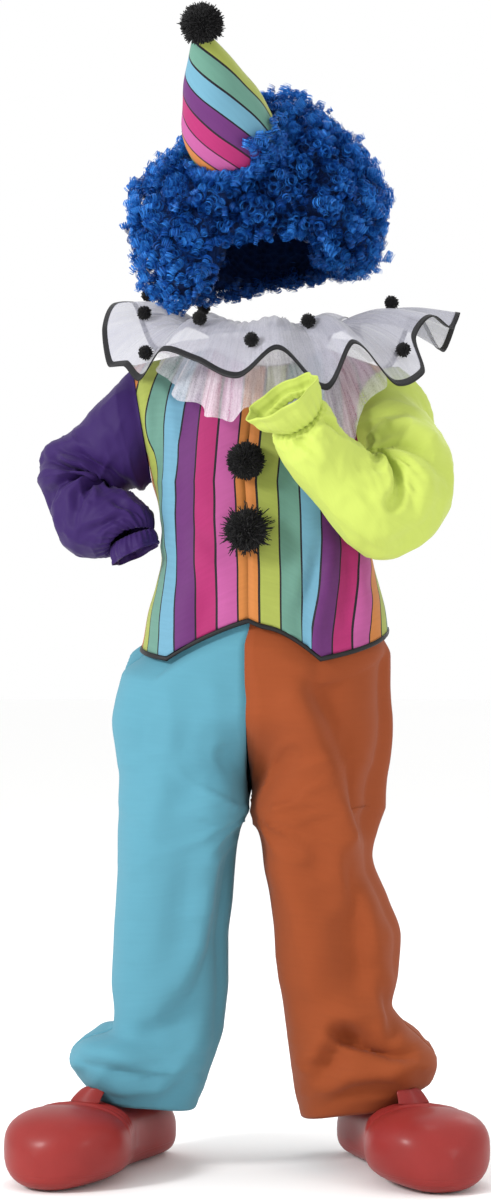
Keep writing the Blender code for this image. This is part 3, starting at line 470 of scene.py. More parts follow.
striped_print = polyester("striped_printed_polyester", "#CD4182", 0.62)
print_stripes(striped_print, STRIPE_CODES, STRIPE, 2.0, STRIPE / 2)
BODICE_COLUMNS, LOWER_ROWS, UPPER_ROWS = 44, 44, 36
DENT, DENT_SIZE = 1.2, 46          # soft unevenness of the worn cloth
CALM_COLUMNS, CALM_ROWS = 5, 8     # how far from the seams and the top edge the creases start
BODICE_SEAM = (0.9, 1.1)           # depth in millimetres, reach in columns
BODICE_SEED = {"front": 3.0, "back": 7.0}
for face in ("front", "back"):
    for side in ("right", "left"):
        piece_name = f"bodice_{face}_{side}"
        sign = 1 if side == "left" else -1
        panel = []
        for r in range(LOWER_ROWS):
            line = []
            for c in range(BODICE_COLUMNS + 1):
                angle = panel_angle(sign, face, c / BODICE_COLUMNS)
                low = hem_height(angle)
                height = low + (UNDERARM - low) * r / LOWER_ROWS
                line.append(Vector((*torso_point(height, angle), height)))
            panel.append(line)
        for r in range(UPPER_ROWS + 1):
            up = math.sin(math.pi / 2 * r / UPPER_ROWS)
            panel.append([upper_panel_point(side, face, c / BODICE_COLUMNS, up)
                          for c in range(BODICE_COLUMNS + 1)])

        def bodice_rise(r, c, p, creases=BODICE_CREASES[piece_name], seed=BODICE_SEED[face]):
            """Creases and soft dents, drawn in at the seams."""
            rows_left = LOWER_ROWS + UPPER_ROWS - r
            calm = min(1.0, min(c, BODICE_COLUMNS - c) / CALM_COLUMNS, rows_left / CALM_ROWS)
            dent = DENT * ripple(p.x / DENT_SIZE, p.z / DENT_SIZE, seed)
            rise = (crease_rise(creases, p.x, p.z, seed) + dent) * calm
            return max(rise, -1.0 - 0.3 * r) + seam_dip(c, BODICE_COLUMNS, *BODICE_SEAM)

        def stripe_place(r, c, u, sign=sign if face == "front" else -sign,
                         fold=HIDDEN_FOLD.get(piece_name, (0, 0, 1)), eased=EASED_PRINT.get(piece_name, ())):
            """Cloth from the centre seam to a point, with the cloth that a fold hides."""
            gained = sum(most * bell((r - row) / EASE_ROWS) for row, most in eased) * (u / 100) ** 2
            hidden = fold[1] * smooth_step((u - fold[0]) / FOLD_WIDTH) * smooth_step(1 - r / fold[2])
            return sign * (u + gained + hidden)

        panel_piece = cloth_piece(f"cloth_{piece_name}", panel, striped_print, rise=bodice_rise, level=True,
                                  mirrored=(face == "front") == (side == "right"), across=stripe_place)
        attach(panel_piece, "root")
        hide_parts(piece_name)

# --- Hem binding of the bodice -----------------------------------------------------------------------------
# Black satin bias tape, folded over the zigzag lower edge and sewn through both sides.
# It lies proud of the stripes by its own thickness, with a stitch line along its upper fold.

TAPE = 5
# Section of the tape: above the hem, out from the cloth
TAPE_SECTION = ((0.3, -0.2), (0.3, 0.9), (0.2 - TAPE * 0.5, 1.25), (0.2 - TAPE * 0.85, 0.9),
                (-TAPE, -0.3), (-TAPE * 0.85, -1.5), (-0.3, -1.7), (0.3, -0.2))

# Black satin ribbon: fine cross ribs and a soft gloss that follows the folds
black_satin, satin_tree, satin_shader = material("black_satin_ribbon", {
    "Roughness": 0.5, "Specular IOR Level": 0.3})
satin_place = add_node(satin_tree, "UVMap", uv_map="cloth")
satin_ribs = add_node(satin_tree, "TexWave", {"Scale": 0.28, "Distortion": 0.4},
                      {"Vector": satin_place.outputs["UV"]}, bands_direction="X")
satin_bump = add_node(satin_tree, "Bump", {"Strength": 0.25, "Distance": 0.0004},
                      {"Height": satin_ribs.outputs["Fac"]})
satin_wear = add_node(satin_tree, "TexNoise", {"Scale": 0.08, "Detail": 3.0},
                      {"Vector": satin_place.outputs["UV"]})
satin_dye = add_node(satin_tree, "Mix", {"A": linear("#0A0A0C"), "B": linear("#19191C")},
                     {"Factor": satin_wear.outputs["Fac"]}, data_type="RGBA")
wire(satin_shader, {"Base Color": satin_dye.outputs["Result"], "Normal": satin_bump.outputs["Normal"]})


def round_grid(rows, sides, point):
    """For each row, its points all round the wearer, from the front to the right."""
    return [[point(row, -360 * c / sides) for c in range(sides)] for row in rows]


def tape_point(place, angle):
    """Point of the folded tape on the hem, a little uneven."""
    up, out = place
    height = hem_height((angle + 180) % 360 - 180) + up - 0.3
    here = Vector((*torso_point(height, angle), height))
    return here + Vector((here.x, here.y, 0)).normalized() * (out + 0.25 * ripple(-angle / 6, 0, 5))


tape = round_grid(TAPE_SECTION, 360, tape_point)
tape_piece = cloth_piece("bias_tape_hem_binding", tape, black_satin, ring=True, thickness=0)
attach(tape_piece, "root")
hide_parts("hem_binding")

# --- Trousers: front and back of each leg ------------------------------------------------------------------
# Soft brushed polyester, blue on the wearer's right and orange on the left, joined under the bodice's hem.
# Wide legs that fall loose and bunch on the shoes; the hems are turned up and drawn in by an elastic inside.

WAIST_TOP, CROTCH = -284, -509
HIPS = (
    (-509, -163, 132, -100, 108, 2.2),
    (-478, -162, 136, -103, 111, 2.2),
    (-456, -166, 139, -106, 111, 1.5),
    (-412, -170, 138, -109, 108, 0.9),
    (-390, -167, 136, -109, 106, 0.9),
    (-370, -162, 135, -108, 103, 1.5),
    (-346, -156, 135, -106, 101, 2.2),
    (-284, -150, 134, -104, 99, 2.8),
)
TUCK = 8               # how far inside the bodice the trousers are joined
# Height at the side seam, height at the inseam, right side, left side, front, back
LEGS = {"right": (
    (-509, -509, -164, -20, -99, 108),
    (-534, -534, -165, -30, -95, 102),
    (-566, -566, -165, -35, -90, 96),
    (-610, -610, -167, -38, -82, 88),
    (-654, -654, -170, -43, -74, 82),
    (-698, -698, -172, -43, -68, 80),
    (-730, -730, -169, -46, -66, 82),
    (-753, -755, -172, -49, -70, 90),
    (-764, -772, -204, -54, -78, 100),
    (-782, -794, -219, -62, -80, 108),
    (-800, -818, -213, -70, -66, 114),
    (-826, -840, -192, -79, -45, 118),
), "left": (
    (-509, -509, -18, 131, -97, 108),
    (-534, -534, -7, 122, -94, 102),
    (-560, -560, -2, 116, -90, 96),
    (-610, -610, 4, 134, -84, 88),
    (-649, -649, 9, 147, -78, 84),
    (-690, -690, 12, 144, -70, 80),
    (-724, -724, 16, 137, -66, 80),
    (-745, -748, 19, 150, -68, 88),
    (-766, -770, 22, 172, -74, 98),
    (-784, -792, 25, 186, -74, 106),
    (-803, -822, 29, 183, -62, 113),
    (-829, -850, 36, 158, -44, 118),
)}
LEG_SPLIT = {"front": -398, "back": -430, "side": -414}
# Half width, drop, how far the drop reaches, then the path x, z with the low side on its left
TROUSER_OVERLAPS = {
    "trousers_front_right": (
        (12, 14, 66, (-44, -520), (-53, -585), (-65, -656), (-84, -698), (-117, -736), (-168, -756)),
        (7, 7.0, 16, (-112, -800), (-150, -786), (-186, -776), (-212, -774)),
    ),
    "trousers_front_left": (
        (11, 19, 150, (31, -356), (58, -408), (79, -458), (98, -510), (118, -556)),
        (8, 13, 24, (146, -776), (113, -753), (79, -741), (60, -766), (42, -806)),
        (5, 14, 10, (58, -749), (88, -757), (110, -767), (132, -775), (164, -780)),
        (24, 13, 90, (14, -470), (38, -560), (58, -640), (72, -724)),
    ),
    "trousers_back_right": (
        (10, 8.0, 50, (-60, -440), (-92, -500), (-112, -560), (-130, -640)),
        (9, 10.0, 24, (-70, -744), (-110, -750), (-150, -760), (-186, -776)),
    ),
    "trousers_back_left": (
        (10, 8.0, 50, (34, -430), (60, -500), (84, -580), (96, -660)),
        (9, 10.0, 24, (156, -770), (120, -756), (84, -750), (50, -764)),
    ),
}
# Half width, rise, then the points x, z that the crease runs through
TROUSER_CREASES = {
    "trousers_front_right": (
        (13, 3.4, (-96, -730), (-122, -756), (-156, -768), (-190, -772)),
        (9, 4.2, (-200, -790), (-158, -806), (-120, -812)),
        (17, -4.8, (-132, -380), (-140, -460), (-150, -520)),
        (17, 3.8, (-52, -360), (-60, -440), (-62, -520)),
        (14, -3.5, (-40, -430), (-64, -470), (-100, -500)),
        (20, 3.2, (-120, -540), (-124, -620), (-130, -690)),
        (12, -3.2, (-80, -560), (-92, -620), (-96, -670)),
        (8, -3.5, (-76, -790), (-92, -812), (-112, -826)),
    ),
    "trousers_front_left": (
        (20, 5.1, (18, -400), (44, -470), (64, -540), (82, -600)),
        (14, -5.8, (100, -560), (92, -630), (100, -700)),
        (19, 3.5, (56, -600), (60, -680), (62, -730)),
        (12, 4.0, (62, -800), (88, -790), (118, -792), (150, -794)),
        (7, -5.4, (128, -700), (132, -735), (134, -760)),
        (12, 4.8, (76, -722), (104, -724), (126, -732)),
        (8, -4.2, (60, -830), (96, -812), (132, -806)),
    ),
    "trousers_back_right": (
        (17, -7.2, (-56, -440), (-86, -490), (-128, -530)),
        (15, -5.8, (-92, -420), (-84, -480), (-60, -530)),
        (19, 4.8, (-120, -420), (-130, -520), (-126, -620)),
        (15, -7.2, (-70, -690), (-110, -722), (-160, -746)),
        (12, 5.6, (-80, -730), (-120, -762), (-180, -772)),
        (10, -6.4, (-200, -778), (-150, -796), (-100, -800)),
        (19, 3.8, (-76, -560), (-80, -640), (-84, -700)),
    ),
    "trousers_back_left": (
        (17, -7.2, (30, -440), (58, -490), (100, -530)),
        (15, -5.8, (70, -420), (58, -480), (34, -530)),
        (19, 4.8, (98, -420), (104, -520), (112, -620)),
        (15, -7.2, (50, -690), (90, -722), (134, -744)),
        (12, 5.6, (56, -730), (96, -762), (150, -770)),
        (10, -6.4, (170, -778), (120, -796), (70, -800)),
        (19, 3.8, (50, -560), (60, -640), (64, -700)),
    ),
}


def overlap_rise(overlaps, x, z):
    """Folds where the cloth laps over itself: a lip along the path and a drop on the left of its way."""
    rise = 0.0
    for half_width, drop, reach, *path in overlaps:
        side, _, along = nearest_on(path, x, z)
        ends = smooth_step(along * 5 + 0.15) * smooth_step((1 - along) * 5 + 0.15)
        lip = 0.35 * bell((side + 1.4 * half_width) / (1.6 * half_width))
        step = smooth_step((side + half_width) / (2 * half_width))
        rise += drop * ends * (lip - step * bell(max(side - half_width, 0) / reach))
    return rise


def fold_fan(dx, dy, folds, reach, seed):
    """Sharp folds that spread from a point, 0 to 1: none at the point itself nor far past their reach."""
    away = math.hypot(dx, dy)
    ridge = 1 - min(1.0, 2.6 * abs(ripple(math.atan2(dy, dx) * folds, away / 70, seed)))
    return ridge ** 2 * bell(away / reach) * min(1.0, away / 16)


def trouser_point(side, face, across, height):
    """Outer surface of a trouser panel: across 0 is the side seam and 1 the centre seam or inseam."""
    sign = 1 if side == "left" else -1
    inseam, right_side, left_side, front, back = row_at(LEGS[side], height)
    swing = 90 - 180 * across if face == "front" else 90 + 180 * across
    x, y = oval(right_side, left_side, front, back, sign * swing)
    level = height + (inseam - height) * (1 - math.cos(math.pi * across)) / 2
    if height > CROTCH:
        split = LEG_SPLIT["side"] + (LEG_SPLIT[face] - LEG_SPLIT["side"]) * across
        share = smooth_step((split - height) / (split - CROTCH))
        angle = sign * (90 * (1 - across) if face == "front" else 90 + 90 * across)
        right_hip, left_hip, front_hip, back_hip, turn = row_at(HIPS, height)
        hip_x, hip_y = oval(right_hip, left_hip, front_hip, back_hip, angle - turn)
        right_in, left_in, front_in, back_in, turn = row_at(TORSO, height)
        in_x, in_y = oval(right_in + TUCK, left_in - TUCK, front_in + TUCK, back_in - TUCK, angle - turn)
        tucked = smooth_step((height - hem_height(angle) + 30) / 26)
        hip_x += (in_x - hip_x) * tucked
        hip_y += (in_y - hip_y) * tucked
        x = hip_x + (x - hip_x) * share
        y = hip_y + (y - hip_y) * share
        level = height
    return Vector((x, y, level))


trouser_cloth = {
    "right": polyester("blue_brushed_polyester", "#528B9D", 0.8, slub=0.04),
    "left": polyester("orange_brushed_polyester", "#8A4220", 0.8, slub=0.04),
}
TROUSER_SEED = {"front": 11.0, "back": 17.0}
TROUSER_DENTS = ((2.0, 60, 80), (0.8, 22, 34))   # depth, width and height of each kind of dent
TROUSER_SEAM = (1.0, 1.0)                        # depth in millimetres, reach in columns
HEM_STITCHES, STITCH_DEPTH, STITCH_WIDTH = 3, 0.5, 0.8   # rows above the edge, depth, width in rows
CROTCH_X, CROTCH_FOLDS, CROTCH_SPREAD, CROTCH_REACH = -12, 4.5, 2.4, 130
BUNCH_TOP, BUNCH_FOLDS, BUNCH_WIDTH, BUNCH_HEIGHT = -742, 2.2, 60, 18
LEG_COLUMNS, LEG_ROWS = 48, 140
for side in ("right", "left"):
    hem_level = LEGS[side][-1][0]
    levels = [WAIST_TOP + (hem_level - WAIST_TOP) * r / LEG_ROWS for r in range(LEG_ROWS + 1)]
    for face in ("front", "back"):
        piece_name = f"trousers_{face}_{side}"
        panel = [[trouser_point(side, face, c / LEG_COLUMNS, level) for c in range(LEG_COLUMNS + 1)]
                 for level in levels]

        def trouser_rise(r, c, p, creases=TROUSER_CREASES[piece_name], overlaps=TROUSER_OVERLAPS[piece_name],
                         seed=TROUSER_SEED[face]):
            """Creases and soft dents, drawn in at the seams, the hem's stitch line and under the bodice."""
            calm = smooth_step(min(c, LEG_COLUMNS - c) / 5) * smooth_step((-300 - p.z) / 60)
            calm *= smooth_step((LEG_ROWS - r) / 6)
            dent = sum(deep * ripple(p.x / wide, p.z / high, seed) for deep, wide, high in TROUSER_DENTS)
            dent += CROTCH_FOLDS * fold_fan(abs(p.x - CROTCH_X), p.z - CROTCH, CROTCH_SPREAD, CROTCH_REACH,
                                            seed)
            bunched = smooth_step((BUNCH_TOP - p.z) / 30) * smooth_step((p.z - hem_level) / 12)
            ridge = 1 - min(1.0, 2.6 * abs(ripple(p.x / BUNCH_WIDTH, p.z / BUNCH_HEIGHT, seed)))
            dent += BUNCH_FOLDS * bunched * ridge ** 2
            dent += overlap_rise(overlaps, p.x, p.z)
            edges = seam_dip(c, LEG_COLUMNS, *TROUSER_SEAM)
            edges -= STITCH_DEPTH * bell((LEG_ROWS - HEM_STITCHES - r) / STITCH_WIDTH)
            calm *= 1 - smooth_step((p.z - hem_height(math.degrees(math.atan2(p.x, -p.y))) + 26) / 22)
            return (crease_rise(creases, p.x, p.z, seed) + dent) * calm + edges

        leg_piece = cloth_piece(f"cloth_{piece_name}", panel, trouser_cloth[side],
                                mirrored=(face == "front") == (side == "right"), rise=trouser_rise)
        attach(leg_piece, "root")
        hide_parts(piece_name)

# --- Sleeves -----------------------------------------------------------------------------------------------
# Smooth satin-backed polyester, purple on the wearer's right and neon yellow on the left, cut in one piece
# each. The head is set flat into the armhole; the wrist is gathered by a narrow elastic sewn inside.

# Outer edge x, y, z, inner edge x, y, z, half thickness, one row for each ring from the armhole down
SLEEVES = {
    "right": (
        (-166, 16, -42, -139, 14, -158, 48),
        (-187, 20, -62, -147, 14, -158, 47),
        (-205, 24, -84, -155, 16, -157, 46),
        (-223, 27, -97, -162, 18, -154, 46),
        (-242, 29, -110, -169, 19, -152, 46),
        (-250, 30, -130, -174, 18, -152, 46),
        (-251, 28, -152, -177, 16, -155, 46),
        (-241, 22, -176, -176, 9, -159, 45),
        (-231, 10, -199, -170, 0, -163, 43),
        (-222, -6, -221, -162, -12, -166, 41),
        (-206, -16, -232, -151, -22, -167, 38),
        (-189, -24, -233, -140, -30, -172, 35),
        (-178, -30, -231, -130, -35, -182, 31),
        (-170, -34, -222, -124, -38, -203, 24),
    ),
    "left": (
        (142, -18, -27, 112, -24, -152, 48),
        (160, -26, -46, 114, -46, -146, 47),
        (170, -44, -80, 112, -72, -134, 46),
        (182, -68, -119, 108, -98, -124, 45),
        (191, -85, -150, 108, -112, -124, 46),
        (189, -97, -180, 109, -119, -126, 47),
        (174, -106, -209, 108, -126, -129, 47),
        (148, -114, -228, 106, -132, -129, 47),
        (116, -124, -238, 101, -139, -126, 46),
        (88, -133, -224, 92, -147, -118, 44),
        (60, -144, -191, 80, -156, -108, 41),
        (32, -155, -159, 69, -166, -96, 38),
        (12, -163, -130, 66, -173, -85, 34),
        (5, -170, -110, 59, -181, -77, 28),
        (6, -176, -101, 53, -186, -74, 23),
    ),
}
# Half width, rise, then the points of the crease on the sleeve laid flat: millimetres round the arm from
# the outer edge (front near 76, inner edge near 153, back near 230) and down the arm
RING_SPACE, TURN_SPACE = 20, 0.85
SLEEVE_CREASES = {
    "right": (
        (7, -7.5, (150, 116), (112, 108), (66, 98), (24, 96)),
        (8, 3.9, (140, 124), (104, 122), (60, 118), (20, 120)),
        (7, -8.0, (150, 130), (112, 136), (66, 142), (22, 146)),
        (7, 3.9, (140, 140), (104, 152), (62, 164), (30, 172)),
        (6, -6.3, (150, 142), (124, 158), (96, 176), (60, 190)),
        (11, -4.8, (150, 18), (112, 34), (74, 62), (40, 84)),
        (11, 3.4, (146, 42), (108, 60), (70, 86)),
        (6, -4.6, (52, 212), (72, 226), (92, 238)),
        (6, -4.1, (112, 206), (110, 226), (116, 244)),
        (7, -6.9, (156, 116), (194, 110), (240, 100), (282, 96)),
        (7, -6.9, (156, 130), (194, 138), (240, 146), (284, 150)),
        (8, 3.4, (166, 123), (202, 124), (246, 124)),
        (11, -4.6, (156, 18), (194, 36), (236, 66)),
        (7, -4.6, (214, 206), (236, 224), (258, 236)),
    ),
    "left": (
        (7, -6.9, (148, 96), (116, 92), (84, 92), (46, 96)),
        (6, -9.2, (146, 110), (118, 124), (96, 142), (80, 158)),
        (10, 4.8, (140, 98), (110, 106), (80, 116), (56, 130)),
        (9, 3.7, (138, 132), (112, 150), (92, 168)),
        (13, -3.9, (110, 176), (84, 196), (60, 210)),
        (11, -3.4, (60, 120), (40, 144), (28, 170)),
        (12, 3.0, (60, 224), (84, 236), (104, 246)),
        (6, -5.8, (112, 258), (118, 246), (126, 232), (132, 214)),
        (10, -3.9, (150, 10), (116, 32), (80, 54)),
        (10, 3.2, (140, 52), (104, 64), (70, 76)),
        (6, -4.6, (60, 262), (70, 246), (76, 232)),
        (7, -6.9, (156, 112), (196, 108), (240, 104), (280, 108)),
        (7, -6.3, (156, 124), (196, 138), (238, 150)),
        (10, 3.4, (166, 118), (206, 122), (250, 126)),
        (11, -4.1, (158, 30), (200, 50), (240, 70)),
        (8, -4.1, (220, 236), (236, 216), (258, 200)),
    ),
}
# The point at the inner elbow that the folds spread from, on the same flat sleeve
INNER_ELBOW = {"right": (153, 124), "left": (150, 112)}
ELBOW_FOLDS, ELBOW_SPREAD, ELBOW_REACH = {"right": 7.0, "left": 5.5}, 3.4, 105
SLEEVE_DENTS = ((2.0, 38), (0.3, 15))            # depth and size of each kind of dent
GATHER, GATHER_REACH = 1.7, 2.4                  # depth of the wrist gathers, rows of the table they reach up
ELASTIC_DEPTH, ARMHOLE_SEAM = 2.4, 0.8
SLEEVE_SIDES, ROWS_EACH = 132, 8       # points round the arm, rows of the grid for each row of the table
WRIST_GATHERS = 25


def sleeve_ring(rows, place, sides, swell=None):
    """Points round the arm at a place between the rows: the outer edge, then front, inner edge and back."""
    table = [(i, *row) for i, row in enumerate(rows)]
    now, before, after = (row_at(table, place + step) for step in (0, -0.5, 0.5))
    outer, inner, depth = Vector(now[:3]), Vector(now[3:6]), now[6]
    along = Vector(after[:3]) + Vector(after[3:6]) - Vector(before[:3]) - Vector(before[3:6])
    forward = (outer - inner).cross(along).normalized()
    if forward.y > 0:
        forward = -forward
    ring = []
    for k in range(sides):
        turn = 2 * math.pi * k / sides
        grow = 1 + (swell(turn) / depth if swell else 0)
        ring.append((outer + inner) / 2 + ((outer - inner) / 2 * math.cos(turn)
                                           + forward * depth * math.sin(turn)) * grow)
    return ring


def armhole_point(side, turn_share):
    """Point of the armhole's edge at a share of the way round it."""
    half_turn = 2 * turn_share
    up = 1 - half_turn if half_turn < 1 else half_turn - 1
    return upper_panel_point(side, "front" if half_turn < 1 else "back", 1.0, min(0.985, max(0.015, up)))


def turned_out(grid, ring=True):
    """Whether a tube's normals point away from its middle."""
    row = len(grid) // 2
    middle = sum(grid[row], Vector()) / len(grid[row])
    facing = normals_of(grid[row - 1:row + 2], ring)[1]
    return sum((p - middle).dot(n) for p, n in zip(grid[row], facing)) > 0


sleeve_cloth = {
    "right": polyester("purple_satin_backed_polyester", "#2C1550", 0.58, slub=0.05),
    "left": polyester("neon_yellow_satin_backed_polyester", "#B6C55C", 0.55, slub=0.04),
}
for side in ("right", "left"):
    rows = SLEEVES[side]
    last = len(rows) - 1
    first = sleeve_ring(rows, 0, SLEEVE_SIDES)
    grid = []
    for r in range(ROWS_EACH):
        share = smooth_step(r / ROWS_EACH)
        grid.append([armhole_point(side, k / SLEEVE_SIDES).lerp(first[k], share)
                     for k in range(SLEEVE_SIDES)])
    grid += [sleeve_ring(rows, r / ROWS_EACH, SLEEVE_SIDES) for r in range(ROWS_EACH * last + 1)]

    def sleeve_rise(r, c, p, side=side, last=last):
        """Elbow creases, dents, the gathers above the elastic and the flat seam at the armhole."""
        turn = 360 * c / SLEEVE_SIDES
        ring = (r - ROWS_EACH) / ROWS_EACH
        around, down = turn * TURN_SPACE, ring * RING_SPACE
        rise = sum(crease_rise(SLEEVE_CREASES[side], x, down, 23.0)
                   for x in (around, (turn - 360) * TURN_SPACE))
        elbow, elbow_down = INNER_ELBOW[side]
        rise += ELBOW_FOLDS[side] * fold_fan(abs(around - elbow), down - elbow_down, ELBOW_SPREAD,
                                             ELBOW_REACH, 31.0)
        rise += 1.1 * (1 - min(1.0, 2.4 * abs(ripple(around / 34, down / 13, 9)))) ** 2
        rise += sum(deep * noise.noise(p / size) for deep, size in SLEEVE_DENTS)
        rise *= smooth_step(r / 10) * smooth_step((last - ring) / 1.2)
        near = max(0.0, 1 - (last - ring) / GATHER_REACH)
        pucker = math.sin(WRIST_GATHERS * math.radians(turn) + 2.2 * ripple(turn / 9, 0, 2))
        rise += near ** 1.5 * (GATHER * pucker + ripple(turn / 5, ring, 4))
        rise -= ELASTIC_DEPTH * bell((last - ring) / 0.22)
        return rise - ARMHOLE_SEAM * bell((r - 2) / 1.2)

    piece = cloth_piece(f"cloth_sleeve_{side}", grid, sleeve_cloth[side], ring=True,
                        mirrored=not turned_out(grid), rise=sleeve_rise)
    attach(piece, "root")
    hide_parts(f"sleeve_{side}")

# --- Cuff frills -------------------------------------------------------------------------------------------
# The end of each sleeve beyond the elastic: a gathered frill 30 mm deep with a narrow turned hem,
# held by a row of double stitching that draws a fine groove 4 mm from its edge.

FRILLS = {
    "right": (
        (-170, -34, -222, -124, -38, -203, 24),
        (-171, -35, -231, -121, -39, -210, 28),
        (-168, -36, -243, -119, -40, -219, 32),
    ),
    "left": (
        (6, -176, -101, 53, -186, -74, 23),
        (-7, -182, -101, 53, -194, -65, 28),
        (-24, -189, -90, 48, -203, -49, 33),
    ),
}
FRILL_WAVES, FRILL_WAVE = 7, 2.2
FRILL_SIDES, FRILL_ROWS = 216, 18
GROOVE_ROWS, GROOVE_DEPTH, HEM_ROWS, HEM_THICKER = 3.5, 0.7, 3, 0.35


def round_ripple(turn, size, height):
    """Smooth noise that closes on itself round a ring; a larger size makes it finer."""
    return ripple(math.cos(turn) * size, math.sin(turn) * size, height)


for side in ("right", "left"):
    grid = []
    for r in range(FRILL_ROWS + 1):
        share = r / FRILL_ROWS

        def frill_swell(turn, share=share):
            """Main waves that grow to the hem, and fine puckers that fade from the elastic."""
            wander = 1.3 * round_ripple(turn, 1.4, 8)
            waves = FRILL_WAVE * share * (1 + 0.4 * wander) * math.sin(FRILL_WAVES * turn + wander)
            puckers = 0.9 * (1 - share) * math.sin(WRIST_GATHERS * turn + 2.2 * wander)
            return waves + puckers - 1.2 * (1 - share) ** 4

        grid.append(sleeve_ring(FRILLS[side], 2 * share, FRILL_SIDES, frill_swell))

    def frill_rise(r, c, p):
        """Groove of the stitching above the turned hem, which is a little thicker."""
        turned_hem = HEM_THICKER if r > FRILL_ROWS - HEM_ROWS else 0.0
        return -GROOVE_DEPTH * bell((r - FRILL_ROWS + GROOVE_ROWS) / 0.7) + turned_hem

    piece = cloth_piece(f"cloth_cuff_frill_{side}", grid, sleeve_cloth[side], ring=True,
                        mirrored=not turned_out(grid), rise=frill_rise)
    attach(piece, "root")
    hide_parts(f"cuff_frill_{side}")

# --- Neckband ----------------------------------------------------------------------------------------------
# White polyester band, folded double, that stands on the neckline and takes both layers of the ruff.

# Level of its top, gap above the neckline, how far it swells
BAND_TOP, BAND_START, BAND_PUFF = 15, 0.45, 0.6
neckband_cloth = polyester("white_polyester_binding", "#E4E4E8", 0.7)


def band_point(share, angle):
    """Point of the neckband with a stitched groove just above the seam."""
    low = neckline_point(angle)
    puff = BAND_PUFF * math.sin(math.pi * share) - 0.4 * bell((share - 0.1) / 0.06)
    level = low.z + BAND_START + (BAND_TOP - low.z - BAND_START) * share
    return Vector((low.x, low.y, level)) + Vector((low.x, low.y, 0)).normalized() * puff


band = round_grid((0.0, 0.03, 0.1, 0.25, 0.5, 0.75, 0.9, 0.97, 1.0), 144, band_point)
band_piece = cloth_piece("folded_neckband", band, neckband_cloth, ring=True, mirrored=not turned_out(band),
                         thickness=2.0)
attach(band_piece, "root")
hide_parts("neckband")

# --- Ruff: top flounce, its ribbon, and the loose layer under it -------------------------------------------
# Stiff white tulle, gathered on the neckband. The top layer is two sheets together, wired by a black satin
# ribbon at its edge, so it stands in deep waves. The layer under it is a single cut edge that falls loose.

RUFF_CENTRE_X = 8
# Angle, distance out, height
RUFF_EDGE = (
    (-180, 184, 30), (-168, 186, -18), (-150, 184, 46), (-134, 184, 8), (-120, 183, 56), (-109, 185, 52),
    (-93, 186, 22), (-82, 179, -21), (-71, 171, -22), (-60, 167, -39), (-46, 165, -11), (-30, 167, -24),
    (-14, 174, -43), (0, 168, -14), (17, 174, -55), (28, 170, -7), (46, 177, -48), (60, 178, -34),
    (71, 156, 8), (82, 171, 31), (90, 190, 20), (96, 201, 38), (106, 192, 0), (122, 186, 42),
    (138, 186, -14), (154, 184, 46), (168, 184, -12), (180, 184, 30),
)
UNDER_EDGE = (
    (-180, 118, -42), (-140, 126, -26), (-100, 134, -4), (-75, 134, -22), (-50, 132, -66), (-30, 127, -84),
    (0, 124, -80), (20, 126, -80), (30, 129, -90), (38, 131, -108), (45, 132, -84), (68, 132, -34),
    (90, 130, -6), (120, 128, -14), (150, 122, -36), (180, 118, -42),
)
# Level of each layer on the neckband, how far it arches up on its way out, width of the ribbon
RUFF_INNER_HEIGHT, RUFF_LIFT, RIBBON = 10, 20, 4.5
UNDER_INNER_HEIGHT, UNDER_LIFT = 5, 2
PLEATS, PLEAT, SOFT_WAVE = 64, 1.7, 2.2    # the top layer's fine pleats at the neckband and its soft waves
UNDER_GATHERS, UNDER_GATHER, UNDER_PLEATS, UNDER_PLEAT = 20, 6.3, 47, 1.5
RAGGED_EDGE = 0.07                         # how unevenly the single layer is cut, as a share of its depth
TOP_FLAT, UNDER_FLAT = 1300, 800           # lengths of tulle gathered into each layer


def flounce_point(edge_table, inner_height, angle, share, lift, sag):
    """Point of a ruff layer: share 0 is at the neckband and 1 at its edge."""
    radius, height = row_at(edge_table, (angle + 180) % 360 - 180)
    turn = math.radians(angle)
    start = Vector(((NECK_HALF_WIDTH + 0.9) * math.sin(turn), -(NECK_HALF_DEPTH + 0.9) * math.cos(turn),
                    inner_height))
    end = Vector((RUFF_CENTRE_X + radius * math.sin(turn), -radius * math.cos(turn), height))
    point = start.lerp(end, share)
    point.z = inner_height + (height - inner_height) * share ** sag + lift * math.sin(math.pi * share)
    return point


def ruff_point(angle, share):
    """Upper surface of the wavy top layer."""
    return flounce_point(RUFF_EDGE, RUFF_INNER_HEIGHT, angle, share, RUFF_LIFT, 1.5)


